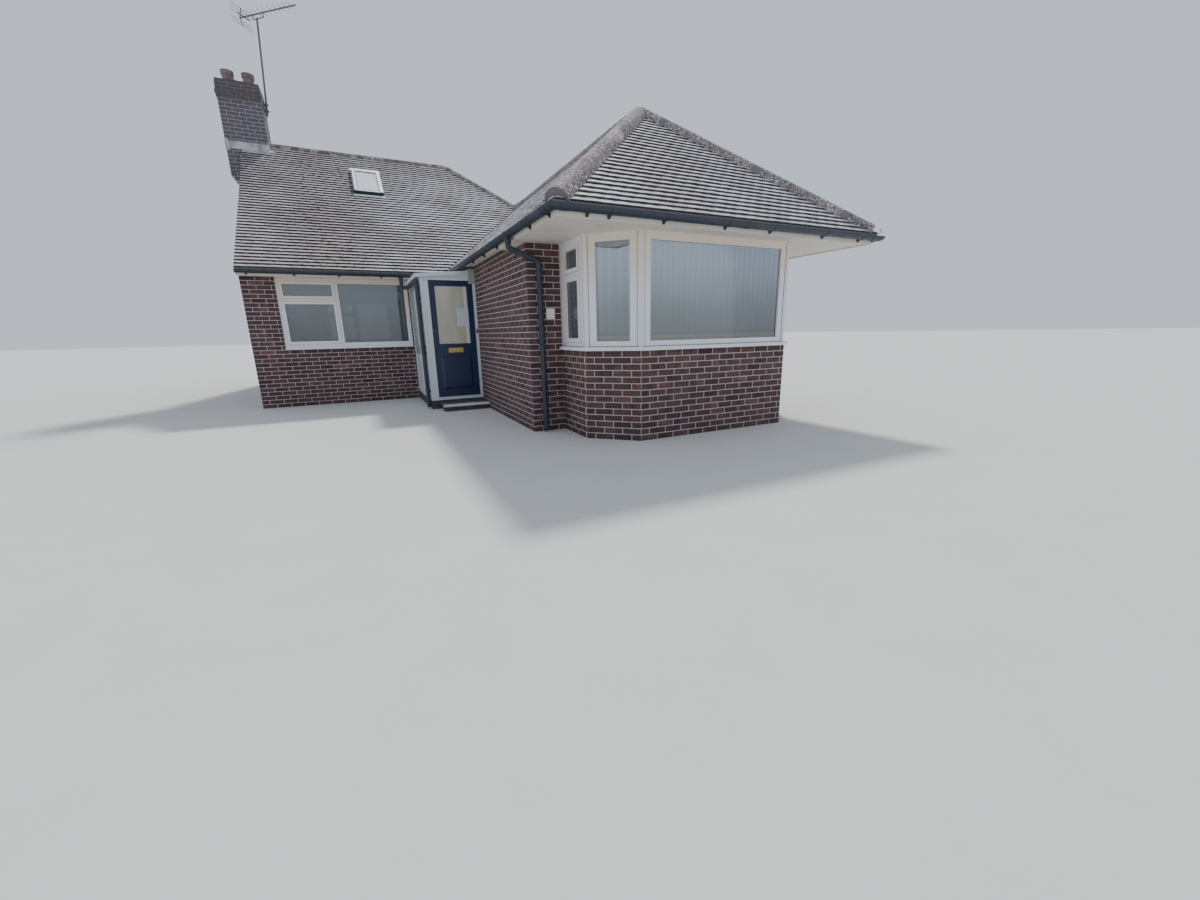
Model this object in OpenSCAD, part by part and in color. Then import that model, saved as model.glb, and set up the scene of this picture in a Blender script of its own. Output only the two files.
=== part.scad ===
// Brick bungalow, one half of a pair: a main range along the street, hipped at its right end,
// and a front wing with its own hipped roof over a canted bay window. A small glazed porch
// stands in the inner corner. Millimetres, +X right along the front, +Y into the house, +Z up.
// Plan points are taken from the wing's front left corner at ground level.

/* [Plan] */
// Width of the front wing, outside
wing_w = 4020; // [3800:10:4400]
// How far the wing's front wall stands in front of the main range's front wall
wing_reach = 4700; // [4400:50:5200]
// Length of the main range left of the wing, to the far face of the party wall
main_left = 3640; // [3500:10:4000]
// Depth of the main range, outside
main_depth = 6750; // [6600:50:7400]
// Thickness of the outer walls
wall_t = 270; // [250:5:300]
// Thickness of the party wall
party_t = 215; // [200:5:230]

/* [Levels] */
// Inside floor above the ground
floor_z = 200; // [150:10:240]
// Underside of the window sills
sill_z = 1050; // [975:75:1125]
// Soffits and ceilings, and the heads of the windows
soffit_z = 2330; // [2300:10:2400]

/* [Roof] */
// Slope of every roof plane, in degrees
roof_pitch = 39.3; // [36:0.1:40]
// Thickness of a roof slope, tiles and rafters together
roof_t = 110; // [90:5:130]
// Thickness of the tiles alone
tile_t = 20; // [15:1:25]
// Top of the tiles straight above the face of the fascia
eave_z = 2470; // [2450:5:2490]
// Overhang of the eaves beyond the main front wall and the rear wall
main_eave = 250; // [230:5:300]
// Overhang of the eaves on the left of the wing
left_eave = 170; // [150:5:200]
// Overhang of the eaves on the right of the house
right_eave = 240; // [230:5:300]
// Overhang of the eaves in front of the wing, over the bay
front_eave = 1450; // [1400:10:1550]
// How far the tiles run on past the fascia
tile_over = 45; // [30:5:55]

/* [Eaves] */
// Underside of the fascia boards
fascia_z = 2308; // [2295:1:2320]
// Underside of the left fascia at its back end, up to which it rises from the front corner
left_fascia_z = 2390; // [2370:5:2400]
// Outer radius of the half-round gutters
gutter_r = 56; // [50:1:60]
// Radius of the downpipes
pipe_r = 34; // [30:1:38]

/* [Bay] */
// Wall left standing at each side of the bay
bay_side = 430; // [380:10:480]
// Depth of the bay's straight sides
bay_return = 700; // [650:10:750]
// Reach of each slanted side, sideways and forwards
bay_cut = 480; // [440:10:520]

/* [Windows] */
// Depth of the window frames
frame_d = 70; // [60:5:80]
// Face width of the frames beside the glass
frame_w = 63; // [50:1:70]
// Thickness of the sealed glass units
pane_t = 24; // [20:2:28]
// Width of the window in the main front wall
main_window_w = 2200; // [2000:50:2300]

/* [Porch] */
// Width of the porch
porch_w = 900; // [880:10:1000]
// Depth of the porch
porch_d = 1850; // [1600:50:2000]
// Width of the door leaf
door_w = 718; // [700:1:720]
// Height of the door leaf
door_h = 1944; // [1900:1:1950]
// Thickness of the door leaf
door_t = 44; // [40:1:50]

/* [Chimney] */
// Width of the stack across the party wall
stack_w = 770; // [740:10:840]
// Depth of the stack along the party wall
stack_d = 750; // [700:10:1000]
// Height of the top course above the ground
stack_top = 6450; // [6300:10:6600]
// Height of the pots above the top course
pot_h = 355; // [300:5:450]

/* [Hidden] */

far = 16000;
gap = 1;
slope = tan(roof_pitch);
course = 75;
ceiling_t = 120;
soffit_t = 12;

// Eaves lines in plan, at the faces of the fascia boards
eave_left = -left_eave;
eave_right = wing_w + right_eave;
eave_front = -front_eave;
eave_main = wing_reach - main_eave;
eave_rear = wing_reach + main_depth + main_eave;
house_left = -main_left;
house_back = wing_reach + main_depth;

// Ridges and where the hips meet them
wing_half = (eave_right - eave_left) / 2;
main_half = (eave_rear - eave_main) / 2;
ridge_x = eave_left + wing_half;
ridge_y = eave_main + main_half;
apex_y = eave_front + wing_half;
meet_y = eave_main + wing_half;
hip_x = eave_right - main_half;
main_ridge_z = eave_z + main_half * slope;
wing_ridge_z = eave_z + wing_half * slope;

// Gutters hang just below the tiles, clear of the boards, and the tiles rest on the fascia
gutter_out = 4;
gutter_t = 4;
gutter_z = 2398;
fascia_t = 22;
fascia_top = eave_z - tile_t / cos(roof_pitch) - gap;
left_soffit_z = left_fascia_z + 5;
left_step_y = 650;

// Oversailing courses of the stack as [lip, courses down from the top]
stack_lips = [[8, 1], [8, 2], [25, 3], [12, 4]];
stack_lip = max([for (o = stack_lips) o[0]]);

// The stack straddles the party wall, a little behind the ridge
stack_back = 110;
stack_x = house_left + party_t / 2;
stack_y = ridge_y + stack_back;
stack_right = stack_x + stack_w / 2;

// The middle of the whole plan goes to the origin
mid_x = (stack_x - stack_w / 2 - stack_lip + eave_right + gutter_out + 2 * gutter_r) / 2;
mid_y = (eave_front + eave_rear) / 2;

// Bay outline, moved in from the brick face by an inset
function bay_pts(o) = let (k = o * tan(22.5), a = bay_side, c = bay_cut, r = bay_return)
    [[a + o, 0], [a + o, -(r - k)], [a + c + k, o - r - c], [wing_w - a - c - k, o - r - c],
     [wing_w - a - o, -(r - k)], [wing_w - a - o, 0]];
function unit(v) = v / norm(v);

frame_in = 20;
post_reach = 45;
frame_z = sill_z + 40;
frame_h = soffit_z - frame_z - gap;
head_w = 95;
sash_w = 45;
sash_out = 14;

// Glass of each window as [fixed lights, opening lights], each light as
// [left, bottom, right, top] in the plane of the frame. A small top vent and a casement
// stand one above the other, and both have stiles wider than a fixed light's.
vent_h = 210;
vent_head = 118;
vent_gap = 140;
vent_stile = 95;
casement_z = 100;
mullion_w = 100;
fixed_share = 0.52;
function fixed_light(x0, x1) = [x0, frame_w, x1, frame_h - head_w];
function vent_lights(x0, x1) = let (vent_z = frame_h - vent_head - vent_h)
    [[x0, casement_z, x1, vent_z - vent_gap], [x0, vent_z, x1, vent_z + vent_h]];
function pair_lights(w) = let (x = w * fixed_share)
    [[fixed_light(frame_w, x)], vent_lights(x + mullion_w, w - vent_stile)];
main_vent_w = 785;
main_lights = [[fixed_light(vent_stile + main_vent_w + mullion_w, main_window_w - frame_w)],
    vent_lights(vent_stile, vent_stile + main_vent_w)];

// Stiles of the bay's lights: straight sides at the wall and at the post, slanted sides, front
bay_stiles = [125, 140, 85, 75];

// Openings of the plain walls: [distance along the wall, width]
main_pier = 930;
main_window_x = -main_window_w - main_pier;
inner_door = [-800, 700];
inner_door_h = 2000;
right_windows = [[1700, 1200], [7600, 1200]];
rear_windows = [[-2700, 1800], [2000, 1200]];
back_door_x = 350;
back_door_w = 860;
back_door_h = 2000;

porch_y = wing_reach - porch_d;
porch_base_z = 150;
step_w = 770;
step_d = 430;
step_h = 120;
step_nose = 20;
step_top = 45;
porch_low_z = 2250;
porch_high_z = 2325;
porch_roof_t = 60;
porch_roof_over = 75;
porch_roof_front = 40;
porch_upstand = [110, 22];
threshold_h = 50;
jamb_w = 45;
leaf_gap = 6;
post_w = porch_w - jamb_w - door_w - 2 * leaf_gap;
leaf_z = porch_base_z + threshold_h + leaf_gap;
leaf_x = -jamb_w - leaf_gap - door_w;
leaf_y = porch_y + frame_d - door_t;
hinge_x = -jamb_w - leaf_gap / 2;
hinge_y = porch_y + frame_d + 8;

brick = [0.42, 0.24, 0.19];
tile = [0.38, 0.34, 0.32];
white = [0.88, 0.88, 0.87];
black = [0.09, 0.10, 0.12];
navy = [0.07, 0.12, 0.25];
glass = [0.60, 0.70, 0.74, 0.5];

module house() translate([-mid_x, -mid_y, 0]) children();

// Box from two corners
module box(a, b) translate(a) cube(b - a);

// The roof planes as [direction of the fall, distance of the eaves line that way]
to_right = [0, eave_right];
to_rear = [90, eave_rear];
to_left = [180, -eave_left];
to_front = [-90, -eave_front];
to_main = [-90, -eave_main];

// Frame of a roof plane: local x runs down the slope and z = 0 is the top of the tiles
module on_slope(side) rotate([0, 0, side[0]]) translate([side[1], 0, eave_z])
    rotate([0, roof_pitch, 0]) children();

// Everything below a roof plane, raised by some millimetres square to it
module below_plane(side, up = 0) on_slope(side) box([-far, -far, -2 * far], [far, far, up]);

// A slope: the tiles run on over the gutter, the rafters below them end behind the fascia
// and stay above the height low
module roof_slope(side, outline, low = 0) {
    intersection() {
        linear_extrude(far) polygon(outline);
        on_slope(side) box([-far, -far, -tile_t], [far, far, 0]);
    }
    intersection() {
        linear_extrude(far) polygon(outline);
        rotate([0, 0, side[0]]) box([-far, -far, low], [side[1] - fascia_t - gap, far, far]);
        on_slope(side) box([-far, -far, -roof_t], [far, far, -tile_t / 2]);
    }
}

module stack_shaft() translate([stack_x, stack_y, stack_top / 2])
    cube([stack_w, stack_d, stack_top], center = true);

// One frame standing on the x axis, with a sash that stands proud round each opening light
module frame(w, h, lights) difference() {
    union() {
        cube([w, frame_d, h]);
        for (o = lights[1])
            box([o[0] - sash_w, -sash_out, o[1] - sash_w], [o[2] + sash_w, 1, o[3] + sash_w]);
    }
    for (o = concat(lights[0], lights[1]))
        box([o[0], -sash_out - 1, o[1]], [o[2], frame_d + 1, o[3]]);
}
module panes(lights) for (o = concat(lights[0], lights[1]))
    box([o[0], (frame_d - pane_t) / 2, o[1]], [o[2], (frame_d + pane_t) / 2, o[3]]);

// Facet i of the bay, as a plane whose x axis runs along its outer face
module on_facet(i) {
    pts = bay_pts(frame_in);
    dir = unit(pts[i + 1] - pts[i]);
    start = (i == 0) ? 0 : post_reach;
    at = pts[i] + dir * start;
    translate([at[0], at[1], frame_z]) rotate([0, 0, atan2(dir[1], dir[0])]) children();
}
function facet_w(i) = let (pts = bay_pts(frame_in), ends = (i == 0 || i == 4) ? 1 : 2)
    norm(pts[i + 1] - pts[i]) - ends * post_reach;
function facet_lights(i) = let (w = facet_w(i), s = bay_stiles, side = s[i == 2 ? 3 : 2])
    i == 0 ? [[], vent_lights(s[0], w - s[1])] : i == 4 ? [[], vent_lights(s[1], w - s[0])]
    : [[fixed_light(side, w - side)], []];

module floor_slab() house() color("gray") linear_extrude(floor_z) union() {
    polygon([[house_left + party_t, wing_reach + wall_t], [wing_w - wall_t, wing_reach + wall_t],
        [wing_w - wall_t, house_back - wall_t], [house_left + party_t, house_back - wall_t]]);
    polygon([[wall_t, wall_t], [wing_w - wall_t, wall_t],
        [wing_w - wall_t, wing_reach + wall_t + 1], [wall_t, wing_reach + wall_t + 1]]);
    polygon(concat([[bay_side + wall_t, wall_t + 1]], bay_pts(wall_t),
        [[wing_w - bay_side - wall_t, wall_t + 1]]));
}

module party_wall() house() color(brick) difference() {
    intersection() {
        box([house_left, wing_reach, 0], [house_left + party_t, house_back, far / 2]);
        below_plane(to_main, -roof_t);
        below_plane(to_rear, -roof_t);
    }
    translate([0, 0, stack_foot]) box([house_left - 1, stack_y - stack_d / 2, 0],
        [house_left + party_t + 1, stack_y + stack_d / 2, far]);
}

// A window hole through a wall that runs along x, from the inside and out
module window_hole(x, w, y) box([x, y - 1, sill_z], [x + w, y + wall_t + 1, soffit_z]);

module main_front_wall() house() color(brick) difference() {
    intersection() {
        box([house_left + party_t, wing_reach, 0], [0, wing_reach + wall_t, far / 2]);
        below_plane(to_main, -roof_t);
    }
    window_hole(main_window_x, main_window_w, wing_reach);
    box([inner_door[0], wing_reach - 1, floor_z],
        [inner_door[0] + inner_door[1], wing_reach + wall_t + 1, floor_z + inner_door_h]);
}

module wing_left_wall() house() color(brick) intersection() {
    box([0, 0, 0], [wall_t, wing_reach + wall_t, far / 2]);
    below_plane(to_left, -roof_t);
}

module wing_front_wall() house() color(brick) {
    box([wall_t, 0, 0], [bay_side + wall_t, wall_t, soffit_z + ceiling_t]);
    box([wing_w - bay_side - wall_t, 0, 0], [wing_w - wall_t, wall_t, soffit_z + ceiling_t]);
}

module bay_wall() house() color(brick) linear_extrude(sill_z) difference() {
    polygon(bay_pts(0));
    polygon(concat([[bay_side + wall_t, 1]], bay_pts(wall_t), [[wing_w - bay_side - wall_t, 1]]));
}

module right_wall() house() color(brick) difference() {
    intersection() {
        box([wing_w - wall_t, 0, 0], [wing_w, house_back, far / 2]);
        below_plane(to_right, -roof_t);
        below_plane(to_rear, -roof_t);
    }
    for (o = right_windows)
        box([wing_w - wall_t - 1, o[0], sill_z], [wing_w + 1, o[0] + o[1], soffit_z]);
}

module rear_wall() house() color(brick) difference() {
    intersection() {
        box([house_left + party_t, house_back - wall_t, 0],
            [wing_w - wall_t, house_back, far / 2]);
        below_plane(to_rear, -roof_t);
        below_plane(to_right, -roof_t);
    }
    for (o = rear_windows) window_hole(o[0], o[1], house_back - wall_t);
    box([back_door_x, house_back - wall_t - 1, floor_z],
        [back_door_x + back_door_w, house_back + 1, floor_z + back_door_h]);
}

module ceilings() house() color("white") translate([0, 0, soffit_z]) linear_extrude(ceiling_t) union() {
    polygon([[house_left + party_t, wing_reach + wall_t], [wing_w - wall_t, wing_reach + wall_t],
        [wing_w - wall_t, house_back - wall_t], [house_left + party_t, house_back - wall_t]]);
    polygon([[wall_t, wall_t], [wing_w - wall_t, wall_t],
        [wing_w - wall_t, wing_reach + wall_t + 1], [wall_t, wing_reach + wall_t + 1]]);
    polygon([[bay_side + wall_t, -1], [wing_w - bay_side - wall_t, -1],
        [wing_w - bay_side - wall_t, wall_t + 1], [bay_side + wall_t, wall_t + 1]]);
    polygon(bay_pts(0));
}

module main_roof_front() house() color(tile) difference() {
    roof_slope(to_main, [[house_left, eave_main - tile_over],
        [eave_left - tile_over, eave_main - tile_over], [ridge_x, meet_y], [hip_x, ridge_y],
        [house_left, ridge_y]]);
    stack_shaft();
    on_rooflight() box([kerb_w - light_l / 2, kerb_w - light_w / 2, -far],
        [light_l / 2 - kerb_w, light_w / 2 - kerb_w, far]);
}
module main_roof_rear() house() color(tile) difference() {
    roof_slope(to_rear, [[house_left, ridge_y], [hip_x, ridge_y],
        [eave_right + tile_over, eave_rear + tile_over], [house_left, eave_rear + tile_over]]);
    stack_shaft();
}
module main_roof_right() house() color(tile) roof_slope(to_right,
    [[hip_x, ridge_y], [ridge_x, meet_y], [eave_right + tile_over, meet_y],
     [eave_right + tile_over, eave_rear + tile_over]]);
module wing_roof_left() house() color(tile) roof_slope(to_left,
    [[eave_left - tile_over, eave_front - tile_over], [ridge_x, apex_y], [ridge_x, meet_y],
     [eave_left - tile_over, eave_main - tile_over]], left_soffit_z + soffit_t + gap);
module wing_roof_right() house() color(tile) roof_slope(to_right,
    [[eave_right + tile_over, eave_front - tile_over], [eave_right + tile_over, meet_y],
     [ridge_x, meet_y], [ridge_x, apex_y]]);
module wing_roof_front() house() color(tile) roof_slope(to_front,
    [[eave_left - tile_over, eave_front - tile_over],
     [eave_right + tile_over, eave_front - tile_over], [ridge_x, apex_y]]);

// Half-round tiles in a row from point a to point b with mortar between them, bedded on the
// two slopes below them
cap_r = 120;
cap_low = 50;
cap_l = 440;
bed_w = 12;
bed_in = 8;
cap_tip = 60;
hip_tip = 70;
hip_foot = 120;
module capping(a, b, first, second) {
    v = b - a;
    count = ceil(norm(v) / cap_l);
    pace = norm(v) / count;
    difference() {
        translate(a - [0, 0, cap_low])
            rotate([0, 90 - atan2(v[2], norm([v[0], v[1]])), atan2(v[1], v[0])]) {
                cylinder(r = cap_r - bed_in, h = norm(v), $fn = 48);
                for (i = [0 : count - 1]) translate([0, 0, pace * i])
                    cylinder(r = cap_r, h = pace - (i < count - 1 ? bed_w : 0), $fn = 48);
            }
        intersection() {
            below_plane(first);
            below_plane(second);
        }
    }
}

module ridge_tiles() house() color(tile) {
    capping([stack_right + gap, ridge_y, main_ridge_z],
        [hip_x - cap_tip, ridge_y, main_ridge_z], to_main, to_rear);
    difference() {
        capping([ridge_x, apex_y + cap_tip, wing_ridge_z],
            [ridge_x, meet_y - cap_tip, wing_ridge_z], to_left, to_right);
        below_plane(to_main);
    }
}
module hip(low, top, foot, first, second) {
    dir = unit(top - low);
    capping(low + dir * foot, top - dir * hip_tip, first, second);
}
module hip_tiles() house() color(tile) {
    foot_z = eave_z - tile_over * slope;
    right = eave_right + tile_over;
    wing_top = [ridge_x, apex_y, wing_ridge_z];
    main_top = [hip_x, ridge_y, main_ridge_z];
    front = eave_front - tile_over;
    hip([eave_left - tile_over, front, foot_z], wing_top, hip_foot, to_left, to_front);
    hip([right, front, foot_z], wing_top, hip_foot, to_right, to_front);
    hip([right, eave_rear + tile_over, foot_z], main_top, hip_foot, to_rear, to_right);
    hip([ridge_x, meet_y, wing_ridge_z], main_top, hip_tip, to_main, to_right);
}

// Runs of the eaves: [x, y, turn, length, mitre at the start, mitre at the end],
// 1 for an outer corner, -1 for an inner one, 0 for a square end
front_run = [eave_left, eave_front, 0, eave_right - eave_left, 1, 1];
right_run = [eave_right, eave_front, 90, eave_rear - eave_front, 1, 1];
rear_run = [eave_right, eave_rear, 180, eave_right - house_left, 1, 0];
left_run = [eave_left, eave_main, 270, eave_main - eave_front, -1, 1];
main_run = [house_left, eave_main, 0, eave_left - house_left, 0, -1];
eaves = [front_run, right_run, rear_run, left_run, main_run];

module along(run) translate([run[0], run[1], 0]) rotate([0, 0, run[2]]) children();

// Plan strip of a run between two distances in from the fascia's face
module strip(run, ya, yb) polygon([[run[4] * ya + gap, ya], [run[3] - run[5] * ya - gap, ya],
    [run[3] - run[5] * yb - gap, yb], [run[4] * yb + gap, yb]]);

// Past a step beside the wing's left wall the soffit is higher, and an upstand closes it
module soffit_boards() house() color(white) {
    translate([0, 0, soffit_z]) linear_extrude(soffit_t) {
        difference() {
            polygon([[eave_left + fascia_t, eave_front + fascia_t],
                [eave_right - fascia_t, eave_front + fascia_t], [eave_right - fascia_t, 0],
                [0, 0], [0, left_step_y], [eave_left + fascia_t, left_step_y]]);
            polygon(bay_pts(0));
            polygon([[bay_side, -1], [wing_w - bay_side, -1], [wing_w - bay_side, 1], [bay_side, 1]]);
        }
        along([eave_right, 0, 90]) strip([0, 0, 0, eave_rear, 0, 1], fascia_t, right_eave);
        along(rear_run) strip(rear_run, fascia_t, main_eave);
        along(main_run) strip([0, 0, 0, main_left, 0, 0], fascia_t, main_eave);
    }
    box([eave_left + fascia_t, left_step_y - soffit_t, soffit_z],
        [0, left_step_y, left_soffit_z + soffit_t]);
    translate([0, 0, left_soffit_z]) linear_extrude(soffit_t) along([eave_left, eave_main, 270])
        strip([0, 0, 0, eave_main - left_step_y, -1, 0], fascia_t, left_eave);
}

// The left board's lower edge rises towards the back, where the main board runs on below it
module board(run, low) along(run) translate([0, 0, low]) linear_extrude(fascia_top - low)
    strip(run, 0, fascia_t);
module fascia_boards() house() color(white) difference() {
    union() {
        for (run = [front_run, right_run, rear_run, main_run]) board(run, fascia_z);
        difference() {
            board(left_run, fascia_z);
            back = eave_main + 2 * fascia_t;
            translate([eave_left - gap, 0, 0]) rotate([90, 0, 90]) linear_extrude(fascia_t + 2 * gap)
                polygon([[eave_front, fascia_z], [eave_front, fascia_z - 1], [back, fascia_z - 1],
                    [back, left_fascia_z]]);
        }
        box([eave_left - fascia_t, eave_main, fascia_z],
            [-gap, eave_main + fascia_t, left_fascia_z - 3 * gap]);
        box([eave_left + fascia_t + gap, eave_main, fascia_z],
            [-gap, eave_main + fascia_t, left_soffit_z - gap]);
    }
    translate([0, 0, gap]) porch_slab();
}

module half_disc(r) difference() {
    circle(r = r, $fn = 48);
    translate([-r - 1, 0]) square(2 * r + 2);
}
// Half-round channels, with a stop end where a run has no corner
module gutters() house() color(black) for (run = eaves) along(run) intersection() {
    translate([0, 0, gutter_z - far]) linear_extrude(2 * far)
        strip(run, -gutter_out - 2 * gutter_r, -gutter_out);
    translate([-2 * gutter_r - gutter_out, -gutter_out - gutter_r, gutter_z]) rotate([90, 0, 90])
        difference() {
            length = run[3] + 4 * gutter_r + 2 * gutter_out;
            stop = gutter_out + 2 * gutter_r + gap + gutter_t;
            bore = [run[4] == 0 ? stop : -1, run[5] == 0 ? length - stop : length + 1];
            linear_extrude(length) half_disc(gutter_r);
            translate([0, 0, bore[0]]) linear_extrude(bore[1] - bore[0])
                circle(r = gutter_r - gutter_t, $fn = 48);
        }
}

// Round pipe through a list of points, each length running a little past the bend
module pipe(pts, r) for (i = [0 : len(pts) - 2]) {
    v = pts[i + 1] - pts[i];
    before = (i == 0) ? 0 : r * 0.35;
    after = (i == len(pts) - 2) ? 0 : r * 0.35;
    translate(pts[i] - unit(v) * before)
        rotate([0, 90 - atan2(v[2], norm([v[0], v[1]])), atan2(v[1], v[0])])
            cylinder(r = r, h = norm(v) + before + after, $fn = 12);
}

// Outlet under a gutter that runs along the direction turn, as [x, y]
outlet_h = 45;
module outlet(at, turn) difference() {
    translate([at[0], at[1], gutter_z - gutter_r - outlet_h])
        cylinder(r = pipe_r + 5, h = outlet_h + gutter_r / 3, $fn = 24);
    translate([at[0], at[1], gutter_z]) rotate([90, 0, turn])
        cylinder(r = gutter_r, h = 4 * pipe_r, center = true, $fn = 48);
}

// A pipe drops from its outlet, swings back to the wall and runs down to the ground. The
// main range's pipe runs forward along the porch below its roof and down its front post.
pipe_off = pipe_r + 12;
pipe_foot = 40;
swan_z = [2237, 2112];
bay_pipe_x = 142;
bay_pipe_y = -60;
rear_pipe_x = 3720;
main_pipe_x = -1050;
porch_pipe_x = -porch_w - pipe_off;
porch_pipe_y = porch_y + 60;
porch_pipe_z = 2150;
porch_pipe_fall = 10;
porch_pipe_swing = 190;
module downpipes() house() color(black) {
    top = gutter_z - gutter_r - outlet_h + 5;
    gutter_mid = gutter_out + gutter_r;
    bay_at = [eave_left - gutter_mid, bay_pipe_y];
    outlet(bay_at, 0);
    pipe([[bay_at[0], bay_at[1], top], [bay_at[0], bay_at[1], swan_z[0]],
        [bay_pipe_x, -pipe_off, swan_z[1]], [bay_pipe_x, -pipe_off, pipe_foot]], pipe_r);

    main_at = [main_pipe_x, eave_main - gutter_mid];
    outlet(main_at, 90);
    pipe([[main_at[0], main_at[1], top], [main_at[0], main_at[1], porch_pipe_z],
        [porch_pipe_x, main_at[1] - porch_pipe_swing, porch_pipe_z - porch_pipe_fall / 2],
        [porch_pipe_x, porch_pipe_y, porch_pipe_z - porch_pipe_fall],
        [porch_pipe_x, porch_pipe_y, pipe_foot]], pipe_r);

    rear_at = [rear_pipe_x, eave_rear + gutter_mid];
    outlet(rear_at, 90);
    pipe([[rear_at[0], rear_at[1], top], [rear_at[0], rear_at[1], swan_z[0]],
        [rear_at[0], house_back + pipe_off, swan_z[1]],
        [rear_at[0], house_back + pipe_off, pipe_foot]], pipe_r);
}

pot_foot_r = 128;
pot_waist_r = 102;
pot_rim_r = 119;
pot_bore_r = 88;
pot_foot_h = 90;
pot_rim_h = 75;
pot_shoulder = 40;
pot_slant = 15;
pot_x = 184;
module at_pots() for (side = [-1, 1])
    translate([stack_x + side * pot_x, stack_y, stack_top]) children();

// The stack grows out of the party wall in oversailing courses. Mortar rises from the edges
// of the top course to a flat middle, in five lumps that leave a square for each pot.
stack_foot = 4300;
corbels = 5;
mortar_edge = 25;
mortar_h = 90;
mortar_run = 190;
function mound(w) = [[-w / 2, 0], [w / 2, 0], [w / 2, mortar_edge], [w / 2 - mortar_run, mortar_h],
    [mortar_run - w / 2, mortar_h], [-w / 2, mortar_edge]];
module mortar_lump(x, y) intersection() {
    rotate([90, 0, 0]) linear_extrude(stack_d, center = true) polygon(mound(stack_w));
    rotate([90, 0, 90]) linear_extrude(stack_w, center = true) polygon(mound(stack_d));
    box([x[0], y[0], 0], [x[1], y[1], far]);
}
module chimney_stack() house() color(brick) {
    out = (stack_w - party_t) / 2 / corbels;
    for (i = [0 : corbels]) translate([stack_x, stack_y, stack_foot + course * i])
        translate([-party_t / 2 - out * i, -stack_d / 2, 0])
            cube([party_t + 2 * out * i, stack_d, course]);
    box([stack_x - stack_w / 2, stack_y - stack_d / 2, stack_foot + course * (corbels + 1)],
        [stack_right, stack_y + stack_d / 2, stack_top]);
    for (o = stack_lips) translate([stack_x, stack_y, stack_top - o[1] * course])
        translate([-stack_w / 2 - o[0], -stack_d / 2 - o[0], 0])
            cube([stack_w + 2 * o[0], stack_d + 2 * o[0], course]);
    translate([stack_x, stack_y, stack_top + gap]) {
        hole = pot_foot_r + gap;
        for (y = [[-stack_d / 2, -hole], [hole, stack_d / 2]])
            mortar_lump([-stack_w / 2, stack_w / 2], y);
        for (x = [[-stack_w / 2, -pot_x - hole], [hole - pot_x, pot_x - hole],
            [pot_x + hole, stack_w / 2]]) mortar_lump(x, [gap - hole, hole - gap]);
    }
}

// Squat pots: a straight foot in the mortar, a waist and a thick rim
module chimney_pots() house() color([0.5, 0.3, 0.22]) at_pots() rotate_extrude($fn = 48)
    polygon([[pot_bore_r, 0], [pot_foot_r, 0], [pot_foot_r, pot_foot_h],
        [pot_waist_r, pot_foot_h + pot_shoulder], [pot_waist_r, pot_h - pot_rim_h - pot_slant],
        [pot_rim_r, pot_h - pot_rim_h], [pot_rim_r, pot_h], [pot_bore_r, pot_h]]);

// Lead: an upstand against the brick and an apron on the tiles, open where the ridge runs in
lead_t = 10;
upstand_h = 115;
apron_w = 90;
ridge_slot = cap_r + 30;
module chimney_flashing() house() color([0.62, 0.64, 0.66]) difference() {
    union() {
        intersection() {
            box([stack_x - stack_w / 2, stack_y - stack_d / 2 - lead_t, 0],
                [stack_right + lead_t, stack_y + stack_d / 2 + lead_t, far]);
            below_plane(to_main, upstand_h);
            below_plane(to_rear, upstand_h);
        }
        intersection() {
            box([house_left, stack_y - stack_d / 2 - apron_w, 0],
                [stack_right + apron_w, stack_y + stack_d / 2 + apron_w, far]);
            below_plane(to_main, lead_t);
            below_plane(to_rear, lead_t);
        }
    }
    intersection() {
        below_plane(to_main);
        below_plane(to_rear);
    }
    stack_shaft();
    box([stack_x, ridge_y - ridge_slot, 0], [far, ridge_y + ridge_slot, far]);
}

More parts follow.
